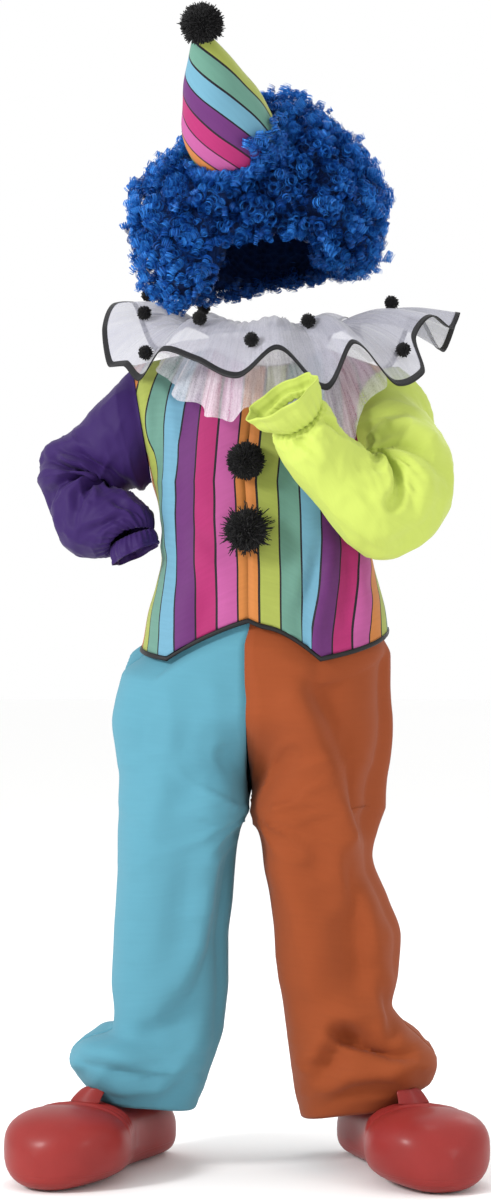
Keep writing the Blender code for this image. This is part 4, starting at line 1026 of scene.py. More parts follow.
def tulle(name, code, see_through, streaks):
    """Stiff nylon tulle: a fine net that lets the cloth below shine through, denser where it is gathered.

    The 1.2 mm holes of the net are too fine to show, so threads are drawn as faint streaks from the neck.
    """
    made, tree, shader = material(name, {"Base Color": linear(code), "Roughness": 0.55, "Sheen Weight": 0.4,
                                         "Specular IOR Level": 0.25})
    place = add_node(tree, "UVMap", uv_map="cloth")
    run = add_node(tree, "Mapping", {"Scale": (0.14, 0.012, 1)}, {"Vector": place.outputs["UV"]})
    gathers = add_node(tree, "TexNoise", {"Scale": 1.0, "Detail": 5.0, "Roughness": 0.65},
                       {"Vector": run.outputs["Vector"]})
    net = add_node(tree, "TexVoronoi", {"Scale": 0.42}, {"Vector": place.outputs["UV"]},
                   feature="DISTANCE_TO_EDGE")
    threads = add_node(tree, "MapRange", {"From Max": 0.22, "To Min": 0.12, "To Max": 0.0},
                       {"Value": net.outputs["Distance"]})
    dense = add_node(tree, "MapRange",
                     {"From Min": 0.3, "From Max": 0.7, "To Min": see_through - streaks,
                      "To Max": see_through + streaks}, {"Value": gathers.outputs["Fac"]})
    cover = add_node(tree, "Math", {}, {0: dense.outputs[0], 1: threads.outputs[0]}, operation="ADD",
                     use_clamp=True)
    bump = add_node(tree, "Bump", {"Strength": 0.5, "Distance": 0.0012},
                    {"Height": gathers.outputs["Fac"]})
    wire(shader, {"Alpha": cover.outputs[0], "Normal": bump.outputs["Normal"]})
    return made


def pleated_point(share, angle):
    """Point of the top layer: fine pleats at the neckband that open into soft waves."""
    turn = math.radians(angle)
    wander = 3 * round_ripple(turn, 3, share)
    pleats = PLEAT * math.sin(PLEATS * turn + 2 * wander) * (1 - share) ** 1.3 * min(1, share * 8)
    soft = SOFT_WAVE * round_ripple(turn, 6, share * 1.5) * math.sin(math.pi * min(1, share * 1.05))
    return ruff_point(angle, share) + Vector((0, 0, pleats + soft))


def ribbon_point(out, angle):
    """Point of the ribbon, so far past the edge of the top layer."""
    length = (ruff_point(angle, 1) - ruff_point(angle, 0)).length
    return ruff_point(angle, 1 + out / length) + Vector((0, 0, 0.5))


def gathered_point(share, angle):
    """Point of the loose layer: gathers that grow to its ragged edge."""
    turn = math.radians(angle)
    ragged = 1 + RAGGED_EDGE * round_ripple(turn, 6, 3)
    here = flounce_point(UNDER_EDGE, UNDER_INNER_HEIGHT, angle, share * ragged, UNDER_LIFT, 1.9)
    wander = 4 * round_ripple(turn, 2.5, 1)
    gather = UNDER_GATHER * share * math.sin(turn * UNDER_GATHERS + 0.6 * wander)
    gather += UNDER_PLEAT * share ** 0.7 * math.sin(turn * UNDER_PLEATS + 2 * wander)
    return here + Vector((math.sin(turn), -math.cos(turn), 0)) * gather


RUFF_SIDES, RUFF_ROWS, UNDER_ROWS = 540, 30, 22
top = round_grid([r / RUFF_ROWS for r in range(RUFF_ROWS + 1)], RUFF_SIDES, pleated_point)
top_tulle = tulle("double_white_tulle", "#A0A0AC", 0.6, 0.15)
top_piece = cloth_piece("tulle_ruff_top", top, top_tulle, ring=True, thickness=0,
                        across=lambda r, c, u: TOP_FLAT * c / RUFF_SIDES)
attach(top_piece, "root")
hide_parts("ruff_top")

edge = round_grid((-0.4, 0.0, 1.4, 3.1, RIBBON + 0.6), RUFF_SIDES, ribbon_point)
edge_piece = cloth_piece("satin_ribbon_ruff_edge", edge, black_satin, ring=True, thickness=1.3)
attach(edge_piece, "root")
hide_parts("ruff_edge")

under = round_grid([r / UNDER_ROWS for r in range(UNDER_ROWS + 1)], RUFF_SIDES, gathered_point)
under_tulle = tulle("single_white_tulle", "#E6E2E8", 0.4, 0.2)
under_piece = cloth_piece("tulle_ruff_under", under, under_tulle, ring=True, thickness=0,
                          across=lambda r, c, u: UNDER_FLAT * c / RUFF_SIDES)
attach(under_piece, "root")
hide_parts("ruff_under")

# --- Pompoms -----------------------------------------------------------------------------------------------
# Black acrylic yarn, wound, tied and cut. The small ones and the upper big one are clipped short and even;
# the lower one on the bodice is left shaggy. Each is sewn on through its middle by its own tie.

SMALL_RADIUS, SMALL_STRANDS, SMALL_STRAND, SMALL_RAGGED = 8.3, 260, 1.1, 0.6
# Where each small one sits on the ruff: angle, share of the way from the neckband to the edge
RUFF_POMPOMS = (
    (-118, 0.80), (-90, 0.62), (-62, 0.86), (-36, 0.66), (-8, 0.84), (20, 0.48), (57, 0.84),
    (84, 0.60), (112, 0.80), (140, 0.62), (178, 0.78), (-147, 0.62),
)

# Cut acrylic yarn: deep matt black, with random greyer flecks painted as highlights where the ends catch the
# light
black_yarn, yarn_tree, yarn_shader = material("cut_black_acrylic_yarn", {
    "Roughness": 0.9, "Specular IOR Level": 0.15, "Sheen Weight": 0.08, "Sheen Roughness": 0.6})
yarn_place = add_node(yarn_tree, "TexCoord")
yarn_noise = add_node(yarn_tree, "TexNoise", {"Scale": 420.0, "Detail": 2.0},
                      {"Vector": yarn_place.outputs["Object"]})
yarn_black_and_painted_glints = add_node(yarn_tree, "Mix", {"A": linear("#050506"), "B": linear("#141315")},
                    {"Factor": yarn_noise.outputs["Fac"]}, data_type="RGBA")
wire(yarn_shader, {"Base Color": yarn_black_and_painted_glints.outputs["Result"]})


def drawn(draw, *limits):
    """A vector of three random draws."""
    return Vector([draw(*limits) for _ in range(3)])


def spiral_way(k, number, chance, wobble):
    """One of a number of directions spread evenly over a ball, moved a little."""
    z = 1 - 2 * (k + 0.5) / number
    swing = k * math.pi * (3 - math.sqrt(5))
    flat = math.sqrt(1 - z * z)
    way = Vector((flat * math.cos(swing), flat * math.sin(swing), z))
    return (way + drawn(chance.uniform, -wobble, wobble)).normalized()


# Share of the radius that the wound core fills, where a strand starts in it, chance that an end stands out
CORE, STRAND_START, LONG_ENDS = 0.80, 0.66, 0.16


def yarn_ball(name, middle, radius, strands, thick, ragged, away, room, seed):
    """A ball of cut yarn ends round a wound core, flattened on the side away from `away`.

    middle and sizes are millimetres; ragged is how far the longest ends stand out past the radius.
    """
    chance = random.Random(seed)
    points, faces = [], []
    shape = bmesh.new()
    bmesh.ops.create_icosphere(shape, subdivisions=3, radius=radius * CORE)
    for vert in shape.verts:
        knob = 1 + 0.09 * noise.noise(vert.co / (radius * 0.35) + Vector((seed, 0, 0)))
        points.append(vert.co * knob)
    faces += [tuple(vert.index for vert in face.verts) for face in shape.faces]
    shape.free()
    for k in range(strands):
        way = spiral_way(k, strands, chance, 0.12)
        length = radius * chance.uniform(0.90, 1.02)
        if chance.random() < LONG_ENDS:
            length += ragged * chance.random() ** 0.6
        side = way.cross(Vector((0.3, 0.5, 0.8))).normalized() * thick / 2
        other = way.cross(side).normalized() * thick / 2
        droop = drawn(chance.uniform, -1, 1) * (length - radius * 0.8) * 0.35
        start = len(points)
        corners = (side, other * 0.87 - side * 0.5, -other * 0.87 - side * 0.5)
        for share, width in ((STRAND_START, 1.0), (0.88, 1.0), (1.0, 0.75)):
            core = way * length * share + droop * max(0.0, share - 0.7) / 0.3
            points += [core + corner * width for corner in corners]
        for level in (0, 3):
            for j in range(3):
                a, b = start + level + j, start + level + (j + 1) % 3
                faces.append((a, b, b + 3, a + 3))
        faces.append((start + 6, start + 7, start + 8))
    settled = []
    for p in points:
        behind = -p.dot(away)
        settled.append(middle + (p if behind <= room else p * (room / behind)))
    return mesh_piece(name, settled, faces, black_yarn)


def middle_of(node):
    """Middle of a CAD node and the place of its back, in millimetres."""
    low, high = (Vector(corner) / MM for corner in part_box(node))
    return (low + high) / 2, high.y


# Node, radius, strands, strand width, raggedness, room towards what carries it as a share of the radius
BIG_POMPOMS = (
    ("pompom_front_upper", 20.5, 1700, 1.3, 1.5, 0.55, (0, -1, 0)),
    ("pompom_front_lower", 22.5, 1900, 1.3, 8.5, 0.55, (0, -1, 0)),
    ("pompom_hat", 23.0, 1900, 1.3, 1.5, 0.60, (-0.21, -0.60, 0.77)),
)
HAT_POMPOM_SETTLE = (6, 0, -9)
for i, (node, radius, strands, thick, ragged, share, way) in enumerate(BIG_POMPOMS):
    middle, back = middle_of(node)
    away = Vector(way).normalized()
    if away.y == -1:
        middle.y = back - radius * share
    else:
        middle += Vector(HAT_POMPOM_SETTLE)
    ball = yarn_ball(f"yarn_{node}", middle, radius, strands, thick, ragged, away, radius * share, 40 + i)
    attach(ball, "root")
    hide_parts(node)
for i, (angle, share) in enumerate(RUFF_POMPOMS):
    node = f"ruff_pompom_{i + 1}"
    middle, _ = middle_of(node)
    away = (middle - ruff_point(angle, share)).normalized()
    ball = yarn_ball(f"yarn_{node}", middle, SMALL_RADIUS, SMALL_STRANDS, SMALL_STRAND, SMALL_RAGGED, away,
                     SMALL_RADIUS, 60 + i)
    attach(ball, "root")
    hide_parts(node)

# --- Cone hat ----------------------------------------------------------------------------------------------
# A cone of the same striped print, stiffened and closed by one seam down its back, cut so that the stripes
# run round it at a slant. It is sewn to an elastic and leans forward on the curls.

HAT_BASE = (-43, -82, 203)
HAT_AXIS = Vector((-0.21, -0.60, 0.77)).normalized()
HAT_RADIUS, HAT_TIP_RADIUS, HAT_LENGTH, HAT_FELT = 59, 4, 149, 1.6
HAT_SHIFT, HAT_SWELL = 6, 5        # brim to the wearer's left, belly halfway up
HAT_BRIM, HAT_BRIM_TUCK, HAT_BRIM_SHIFT = 0.35, 9, 5   # lowest share, how far it is drawn in and set over
HAT_STRIPES = ("#9C2861", "#5D2B65", "#6292A7", "#5D8879", "#939C49", "#B67139", "#A64F86")
HAT_STRIPE, HAT_PRINT_TURN, HAT_PRINT_START = 19.5, 98, 97.5
HAT_SIDES, HAT_CUTS = 72, 24
HAT_DENT, DENTS_EACH_METRE = 2.2, 26     # soft unevenness of the stiffened cloth


def hat_shift(share):
    """How far the cone's middle lies off its axis at a share of its length."""
    return Vector((HAT_SHIFT * (1 - share) + HAT_BRIM_SHIFT * max(0.0, 1 - share / HAT_BRIM) ** 2, 0, 0))


def hat_reach(share):
    """Radius of the cone with its belly at a share of its length."""
    belly = HAT_SWELL * math.sin(math.pi * min(1.0, max(0.0, share)))
    tuck = HAT_BRIM_TUCK * min(1.0, max(0.0, 1 - share / HAT_BRIM)) ** 2
    return HAT_TIP_RADIUS + (HAT_RADIUS - HAT_TIP_RADIUS) * (1 - share) + belly - tuck


def from_seam(p):
    """Angle round the cone from the seam at its back."""
    return (math.atan2(p.y, p.x) - math.pi / 2) % (2 * math.pi)


bpy.ops.object.select_all(action="DESELECT")
bpy.ops.mesh.primitive_cone_add(vertices=HAT_SIDES, radius1=HAT_RADIUS * MM, radius2=HAT_TIP_RADIUS * MM,
                                depth=HAT_LENGTH * MM, location=(0, 0, HAT_LENGTH / 2 * MM))
cone = bpy.context.object
cone.name = "striped_cone_hat"
bpy.ops.object.transform_apply(location=True, rotation=True, scale=True)
bpy.ops.object.mode_set(mode="EDIT")
for cut in range(1, HAT_CUTS):
    bpy.ops.mesh.select_all(action="SELECT")
    bpy.ops.mesh.bisect(plane_co=(0, 0, HAT_LENGTH * cut / HAT_CUTS * MM), plane_no=(0, 0, 1))
bpy.ops.object.mode_set(mode="OBJECT")
shape = bmesh.new()
shape.from_mesh(cone.data)
bmesh.ops.delete(shape, geom=[face for face in shape.faces if face.normal.z < -0.9], context="FACES")
hat_uv = shape.loops.layers.uv.new("cloth")
apex = HAT_LENGTH * HAT_RADIUS / (HAT_RADIUS - HAT_TIP_RADIUS)
slant = math.hypot(HAT_RADIUS, apex)
for face in shape.faces:
    face_turn = from_seam(face.calc_center_median())
    for loop in face.loops:
        turn = from_seam(loop.vert.co / MM)
        turn += 2 * math.pi * round((face_turn - turn) / (2 * math.pi))
        unrolled = turn * HAT_RADIUS / slant
        reach = slant * (1 - (loop.vert.co / MM).z / apex)
        loop[hat_uv].uv = (reach * math.sin(unrolled), reach * math.cos(unrolled))
upright = Vector((0, 0, 1)).rotation_difference(HAT_AXIS)
for vert in shape.verts:
    share = min(1.0, max(0.0, vert.co.z / MM / HAT_LENGTH))
    dent = noise.noise(vert.co * DENTS_EACH_METRE) * (HAT_DENT * MM) * math.sin(math.pi * min(1, share + 0.1))
    out = Vector((vert.co.x, vert.co.y, 0)).normalized() * (hat_reach(share) * MM + dent)
    vert.co = upright @ (out + Vector((0, 0, vert.co.z))) + (hat_shift(share) + Vector(HAT_BASE)) * MM
shape.to_mesh(cone.data)
shape.free()
cone.data.shade_smooth()
hat_print = polyester("striped_print_on_stiffening", "#CD4182", 0.6)
print_stripes(hat_print, HAT_STRIPES, HAT_STRIPE, 1.9, HAT_PRINT_START)
# The print runs at a slant: its place on the cloth is turned before the stripes read it
split = next(node for node in hat_print.node_tree.nodes if node.type == "SEPXYZ")
turned = add_node(hat_print.node_tree, "Mapping", {"Rotation": (0, 0, math.radians(HAT_PRINT_TURN))},
                  {"Vector": split.inputs[0].links[0].from_socket})
wire(split, {0: turned.outputs["Vector"]})
cone.data.materials.append(hat_print)
add_wall(cone, HAT_FELT)
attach(cone, "root")
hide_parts("hat_cone")

# --- Wig ---------------------------------------------------------------------------------------------------
# Rows of shiny synthetic fibre, curled in tight ringlets and sewn to a stretch net cap that is open below.
# The ringlets hang together in lumps about 60 mm deep round the head, thinner over the forehead, and some
# lie over the brim of the hat.

WIG_CENTRE = (-7, 0, 154)
# Angle seen from in front, 0 at the wearer's left and 90 at the top, and distance from the centre
WIG_OUTLINE = (
    (-90, 116), (-48, 112), (-37, 134), (-25, 150), (-10, 146), (0, 147), (15, 132), (38, 128), (60, 124),
    (76, 126), (100, 120), (125, 114), (144, 114), (164, 136), (185, 152), (207, 156), (225, 160),
    (238, 150.5), (270, 116),
)
WIG_HALF_DEPTH = 134
# Angle round the head, rise of the cap's edge from the centre in degrees
WIG_RIM = (
    (-180, -48), (-130, -48), (-92, -54), (-62, -52), (-36, -47), (-24, -27), (0, -25), (33, -26), (46, -42),
    (90, -42), (140, -46), (180, -46),
)
HEAD_CENTRE, HEAD_RADII = (-2, 4, 125), (76, 88, 95)
HAT_CLEARANCE = 3
LUMPS = 118              # bunches of ringlets all round, as if the wig had no opening
LUMP_RELIEF = (-8, 2.5)  # how far the bunches stand in or out of the even outline
LUMP_VALLEY = 17         # how deep the ringlets between two bunches lie
FLYAWAYS = 0.05          # share of the ringlets that stand out
RINGLETS = 3250          # single ringlets, likewise
RINGLET_RADIUS, RINGLET_PITCH = 5.4, 4.6
FIBRES, FIBRE_WIDTH, FIBRE_GAP = 5, 0.8, 1.05
FIBRE_STEPS = 14
RIM_RINGLETS, BRIM_RINGLETS = 330, 230   # more of them inside the rim and over the brim of the hat
CAP_DEPTH, CAP_UNEVEN = 19, 3.5          # how far the roots lie under the tips of the curls


def wig_way(angle, rise):
    """Direction from the wig's centre."""
    turn, tilt = math.radians(angle), math.radians(rise)
    return Vector((math.sin(turn) * math.cos(tilt), -math.cos(turn) * math.cos(tilt), math.sin(tilt)))


def wig_outer(way):
    """Outside of the curls in a direction from the wig's centre."""
    screen = math.degrees(math.atan2(way.z, way.x))
    outline = row_at(WIG_OUTLINE, screen + 360 if screen < -90 else screen)[0]
    radius = 1 / math.sqrt((way.x ** 2 + way.z ** 2) / outline ** 2 + (way.y / WIG_HALF_DEPTH) ** 2)
    return Vector(WIG_CENTRE) + way * (radius - 1)


def wig_inner(way):
    """The net cap on the head, on the same line from the wig's centre."""
    start = [(c - h) / r for c, h, r in zip(WIG_CENTRE, HEAD_CENTRE, HEAD_RADII)]
    step = [w / r for w, r in zip(way, HEAD_RADII)]
    a = sum(s * s for s in step)
    b = sum(p * s for p, s in zip(start, step))
    c = sum(p * p for p in start) - 1
    return Vector(WIG_CENTRE) + way * ((-b + math.sqrt(b * b - a * c)) / a)


def hat_depth(point):
    """How far a point lies inside the space that the hat presses out of the curls, below 0 outside it."""
    along = (point - Vector(HAT_BASE)).dot(HAT_AXIS)
    share = along / HAT_LENGTH
    away = (point - Vector(HAT_BASE) - hat_shift(share) - HAT_AXIS * along).length
    return min(hat_reach(share) + HAT_CLEARANCE - away, along + 1) if along < HAT_LENGTH else -1


# Synthetic fibre: a hard blue gloss, with painted shade in its colour: darker where a ringlet lies deep
# between the lumps, lighter towards each ringlet's outer end, and a random tone for each fibre
curl_fibre, fibre_tree, fibre_shader = material("glossy_blue_synthetic_curls", {
    "Roughness": 0.36, "Specular Tint": linear("#86AEEA")})
fibre_painted_shade = add_node(fibre_tree, "Attribute", attribute_name="curl_tone_and_painted_shade")
fibre_ramp = add_node(fibre_tree, "ValToRGB", {}, {0: fibre_painted_shade.outputs["Fac"]})
fibre_ramp.color_ramp.elements[0].color = linear("#050F2C")
fibre_ramp.color_ramp.elements[1].color = linear("#3480D2")
fibre_ramp.color_ramp.elements.new(0.5).color = linear("#0F4290")
wire(fibre_shader, {"Base Color": fibre_ramp.outputs["Color"]})

# The net cap, with the dense roots of the curls on it: a closed shell under the curls whose dark colour is
# painted shade for the depth between them
CAP_SIDES, CAP_ROWS = 84, 30
outside, inside = [], []
for r in range(1, CAP_ROWS + 1):
    for c in range(CAP_SIDES):
        angle = 180 - 360 * c / CAP_SIDES
        way = wig_way(angle, 90 + (row_at(WIG_RIM, angle)[0] + 2 - 90) * r / CAP_ROWS)
        outer, inner = wig_outer(way), wig_inner(way)
        depth = CAP_DEPTH + CAP_UNEVEN * noise.noise(outer / 11)
        low = outer - way * min((outer - inner).length * 0.8, depth)
        while hat_depth(low) > -1 and (low - inner).length > 3:
            low -= way * 2
        outside.append(low)
        inside.append(inner)
points = outside + inside + [sum(layer[:CAP_SIDES], Vector()) / CAP_SIDES for layer in (outside, inside)]
count, last = CAP_ROWS * CAP_SIDES, (CAP_ROWS - 1) * CAP_SIDES
faces = []
for c in range(CAP_SIDES):
    b = (c + 1) % CAP_SIDES
    for r in range(0, last, CAP_SIDES):
        faces.append((r + c, r + b, r + b + CAP_SIDES, r + c + CAP_SIDES))
        faces.append((r + c + count, r + c + CAP_SIDES + count, r + b + CAP_SIDES + count, r + b + count))
    faces += [(2 * count, b, c), (2 * count + 1, c + count, b + count),
              (last + c, last + b, last + b + count, last + c + count)]
# Stretch net under the roots: matt, with knots 8 mm apart, and nearly black as painted shade for the depth
# under the curls
net_in_painted_shade, net_tree, net_shader = material("stretch_net_and_roots_in_painted_shade", {
    "Roughness": 0.8, "Specular IOR Level": 0.1})
net_place = add_node(net_tree, "TexCoord")
net_knots = add_node(net_tree, "TexVoronoi", {"Scale": 130.0}, {"Vector": net_place.outputs["Object"]})
net_painted_shade = add_node(net_tree, "Mix", {"A": linear("#040C28"), "B": linear("#0A2450")},
                   {"Factor": net_knots.outputs["Distance"]}, data_type="RGBA")
net_bump = add_node(net_tree, "Bump", {"Strength": 0.8, "Distance": 0.003},
                    {"Height": net_knots.outputs["Distance"]})
wire(net_shader, {"Base Color": net_painted_shade.outputs["Result"], "Normal": net_bump.outputs["Normal"]})
cap = mesh_piece("wig_net_cap_in_painted_shade", points, faces, net_in_painted_shade)
shape = bmesh.new()
shape.from_mesh(cap.data)
bmesh.ops.recalc_face_normals(shape, faces=shape.faces)
shape.to_mesh(cap.data)
shape.free()
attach(cap, "root")
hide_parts("wig")

# Where each ringlet starts: its middle, the way it points, its size and how much light reaches it
chance = random.Random(7)
lumps = [spiral_way(k, LUMPS, chance, 0.05) for k in range(LUMPS)]
lump_heights = [chance.uniform(*LUMP_RELIEF) for _ in lumps]
roots = []
for way in [spiral_way(k, RINGLETS, chance, 0.02) for k in range(RINGLETS)]:
    angle, rise = math.degrees(math.atan2(way.x, -way.y)), math.degrees(math.asin(way.z))
    if rise < row_at(WIG_RIM, angle)[0] + 2:
        continue
    nearest = sorted(((way - lump).length, k) for k, lump in enumerate(lumps))[:2]
    lump, lump_height = lumps[nearest[0][1]], lump_heights[nearest[0][1]]
    height = min(1.0, 1.6 * (1 - nearest[0][0] / nearest[1][0]))
    sunk = LUMP_VALLEY - (LUMP_VALLEY - 1 + lump_height) * height ** 0.6 + chance.uniform(-1.5, 1.5)
    here = wig_outer(way) - way * sunk
    if chance.random() < FLYAWAYS:
        here += way * chance.uniform(3, 8)
    if hat_depth(here) > 0:
        continue
    off = way - lump
    axis = (way * (0.5 + 0.6 * height) + off.normalized() * (0.9 - 0.7 * height) + Vector((0, 0, -0.2))
            + drawn(chance.gauss, 0, 0.33)).normalized()
    # The last value is painted shade: ringlets deep between the lumps are painted darker
    roots.append((here, axis, 1.0, 0.18 + 0.55 * height))
# Ringlets at the rim, from the net out to the outline, that hang over the forehead and the neck
for _ in range(RIM_RINGLETS):
    angle = chance.uniform(-180, 180)
    way = wig_way(angle, row_at(WIG_RIM, angle)[0] + chance.uniform(-0.5, 3.0))
    share = chance.uniform(0.06, 0.93)
    here = wig_inner(way).lerp(wig_outer(way), share) + Vector((0, 0, 2))
    axis = (Vector((0, 0, -1)) + way * share + drawn(chance.gauss, 0, 0.4)).normalized()
    # Painted shade: the nearer a rim ringlet lies to the net, the darker it is painted
    roots.append((here, axis, 0.95, 0.15 + 0.4 * share))
# Ringlets that lie over the brim: more of them on the wearer's left
for _ in range(BRIM_RINGLETS):
    swing = math.radians(chance.uniform(-175, 5))
    climb = chance.uniform(-6, 40 if math.cos(swing) > 0.2 else 5) * chance.random() ** 0.4
    reach = hat_reach(climb / HAT_LENGTH) + chance.uniform(4.5, 7.5)
    here = upright @ Vector((math.cos(swing) * reach, math.sin(swing) * reach, climb))
    here += Vector(HAT_BASE) + hat_shift(climb / HAT_LENGTH)
    axis = drawn(chance.gauss, 0, 0.6) + Vector((0, 0, 0.4))
    roots.append((here, axis.normalized(), 0.9, 0.55))
# Loose curls at the outline: angle, rise, size
STRAYS = (
    (93, 16, 1.5), (88, 34, 1.2), (96, 6, 1.3), (74, 58, 1.3), (100, 27, 1.1), (40, 72, 1.3), (-92, 10, 1.2),
    (-95, -8, 1.2), (-90, 26, 1.1), (-88, -34, 1.1), (92, -22, 1.1), (86, -35, 1.2), (-70, 44, 1.1),
)
for angle, rise, size in STRAYS:
    way = wig_way(angle, rise)
    roots.append((wig_outer(way) + way * 2.5, way, size, 0.7))

GROUPS = 4
for group in range(GROUPS):
    points, faces, fibre_tone_and_shade = [], [], []
    for here, axis, size, light in roots[group::GROUPS]:
        first = axis.cross(drawn(chance.gauss, 0, 1)).normalized()
        second = axis.cross(first)
        radius = RINGLET_RADIUS * size * chance.uniform(0.7, 1.3)
        turns = chance.uniform(1.5, 2.1)
        pitch = RINGLET_PITCH * chance.uniform(0.85, 1.2)
        hand = chance.choice((-1, 1))
        for fibre in range(FIBRES):
            beside = (fibre - (FIBRES - 1) / 2) * FIBRE_GAP + chance.uniform(-0.5, 0.5)
            phase = chance.uniform(-0.3, 0.3)
            own = radius + chance.uniform(-1.3, 0.8)
            shade = light + chance.uniform(-0.22, 0.3)
            start = len(points)
            for s in range(FIBRE_STEPS + 1):
                share = s / FIBRE_STEPS
                swing = hand * 2 * math.pi * turns * share + phase
                out = first * math.cos(swing) + second * math.sin(swing)
                core = here + out * own * (1 - 0.3 * share) + axis * (pitch * turns * (share - 0.5) + beside)
                half = axis * FIBRE_WIDTH / 2 * min(1.0, 0.3 + 6 * share, 0.25 + 4 * (1 - share))
                points += [core + half, core - half]
                # Painted shade along each fibre: lighter towards the ringlet's outer end, on the fibre's own
                # random tone
                fibre_tone_and_shade += [min(1.0, max(0.0, shade + 0.3 * (share - 0.5)))] * 2
            for s in range(FIBRE_STEPS):
                a = start + 2 * s
                faces.append((a, a + 1, a + 3, a + 2) if hand > 0 else (a, a + 2, a + 3, a + 1))
    curls = mesh_piece(f"wig_curls_{group + 1}", points, faces, curl_fibre)
    curls.data.attributes.new("curl_tone_and_painted_shade", "FLOAT", "POINT").data.foreach_set("value", fibre_tone_and_shade)
    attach(curls, "root")

# --- Shoes -------------------------------------------------------------------------------------------------
# Oversized slip-on clown shoes, each moulded in one piece from thin glossy red vinyl: a ball toe, three
# raised creases behind it, a rolled edge round the ankle, fine mould lines above the sole, a tongue let in.

FLOOR = -905
# Distance from the heel, half width, height
SHOE = (
    (0, 10, 28), (4, 20, 42), (14, 30, 55), (34, 37, 65), (64, 39, 72), (98, 38, 74), (130, 41, 75),
    (162, 52, 77), (190, 62, 79), (218, 66, 82), (244, 61, 80), (268, 48, 73), (283, 29, 58),
    (287.5, 18, 49), (289.6, 8, 41), (290.3, 1.5, 38),
)
# Heel x, y, toe x, y
SHOE_PLACE = {"right": (-123.6, 112.2, -242.6, -139.8), "left": (103, 110, 190, -158)}
ANKLE = (66, 42, 30)     # distance from the heel, half length, half width of the opening
# Distance of its foot and its tip from the heel, height of the tip, half width, thickness, how far its edges
# bend back, how much it narrows, the share where the tip starts to round off and the share that this takes
TONGUE = (178, 173, 94, 17, 3, 4, 0.25, 0.78, 0.3)
TONGUE_LEAN = {"right": 9, "left": -5}   # how far the tip stands to the wearer's left, under the trouser hem
RIDGES, RIDGE, RIDGE_WIDTH = (168, 180, 194), 3.0, 2.6
SQUARE = 0.85            # 1 for a round section, less for a squarer one
RIM_TUBE, RIM_ROLL, RIM_INSET, RIM_SUNK = 0.05, 2.0, 1.4, 1.3    # tube of the torus, then millimetres
SPRING, SPRING_START = 16, 262     # how far the sole curls up at the tip of the toe, and where that starts
SHOE_SIDES, RIM_SIDES, VINYL = 44, 72, 3.2
MOULD_LINES = (9, 21)    # the lowest and highest level of the mould lines above the floor

# Moulded vinyl: soft gloss with a thin coat, cloudy red, a fine grain and two mould lines above the sole
vinyl, vinyl_tree, vinyl_shader = material("glossy_red_moulded_vinyl", {
    "Specular IOR Level": 0.15, "Coat Weight": 0.12, "Coat Roughness": 0.22, "Subsurface Weight": 0.08,
    "Subsurface Scale": 0.004})
vinyl_place = add_node(vinyl_tree, "TexCoord")
vinyl_cloud = add_node(vinyl_tree, "TexNoise", {"Scale": 22.0, "Detail": 4.0},
                       {"Vector": vinyl_place.outputs["Object"]})
vinyl_dye = add_node(vinyl_tree, "Mix", {"A": linear("#7C2422"), "B": linear("#92302D")},
                     {"Factor": vinyl_cloud.outputs["Fac"]}, data_type="RGBA")
vinyl_grain = add_node(vinyl_tree, "TexNoise", {"Scale": 900.0, "Detail": 2.0},
                       {"Vector": vinyl_place.outputs["Object"]})
vinyl_gloss = add_node(vinyl_tree, "MapRange", {"To Min": 0.36, "To Max": 0.54},
                       {"Value": vinyl_cloud.outputs["Fac"]})
vinyl_split = add_node(vinyl_tree, "SeparateXYZ", {}, {"Vector": vinyl_place.outputs["Object"]})
vinyl_level = add_node(vinyl_tree, "MapRange",
                       {"From Min": (FLOOR + MOULD_LINES[0]) * MM, "From Max": (FLOOR + MOULD_LINES[1]) * MM,
                        "To Max": 3.0},
                       {"Value": vinyl_split.outputs["Z"]})
vinyl_lines = add_node(vinyl_tree, "Math", {1: 1.0}, {0: vinyl_level.outputs[0]}, operation="PINGPONG")
vinyl_groove = add_node(vinyl_tree, "MapRange", {"From Max": 0.25, "To Min": -1.0, "To Max": 0.0},
                        {"Value": vinyl_lines.outputs[0]})
vinyl_height = add_node(vinyl_tree, "Math", {1: 0.25}, {0: vinyl_grain.outputs["Fac"],
                                                        2: vinyl_groove.outputs[0]}, operation="MULTIPLY_ADD")
vinyl_bump = add_node(vinyl_tree, "Bump", {"Strength": 0.5, "Distance": 0.0005},
                      {"Height": vinyl_height.outputs[0]})
wire(vinyl_shader, {"Base Color": vinyl_dye.outputs["Result"], "Roughness": vinyl_gloss.outputs[0],
                    "Normal": vinyl_bump.outputs["Normal"]})


def shoe_point(place, turn):
    """Outside of the shoe in its own frame in millimetres; turn runs from its left side over the top."""
    reach = min(1.0, place / 12, (SHOE[-1][0] - place) / 24)
    near = [row_at(SHOE, place + step * reach) for step in (-8, -4, 0, 4, 8)]
    half_width, height = (sum(row[i] for row in near) / len(near) for i in (0, 1))
    top = max(0.0, math.sin(turn)) ** 0.6
    swell = sum(RIDGE * top * bell((place + 16 * (1 - top) - ridge) / RIDGE_WIDTH) for ridge in RIDGES)
    height += swell
    side = (half_width + swell * 0.7) * power(math.cos(turn), SQUARE)
    curl = min(1.0, max(0.0, (place - SPRING_START) / (SHOE[-1][0] - SPRING_START)))
    low = SPRING * (1 - math.sqrt(1 - curl * curl))
    return Vector((place, side, low + (height - low) * (0.5 + 0.5 * power(math.sin(turn), 0.7))))


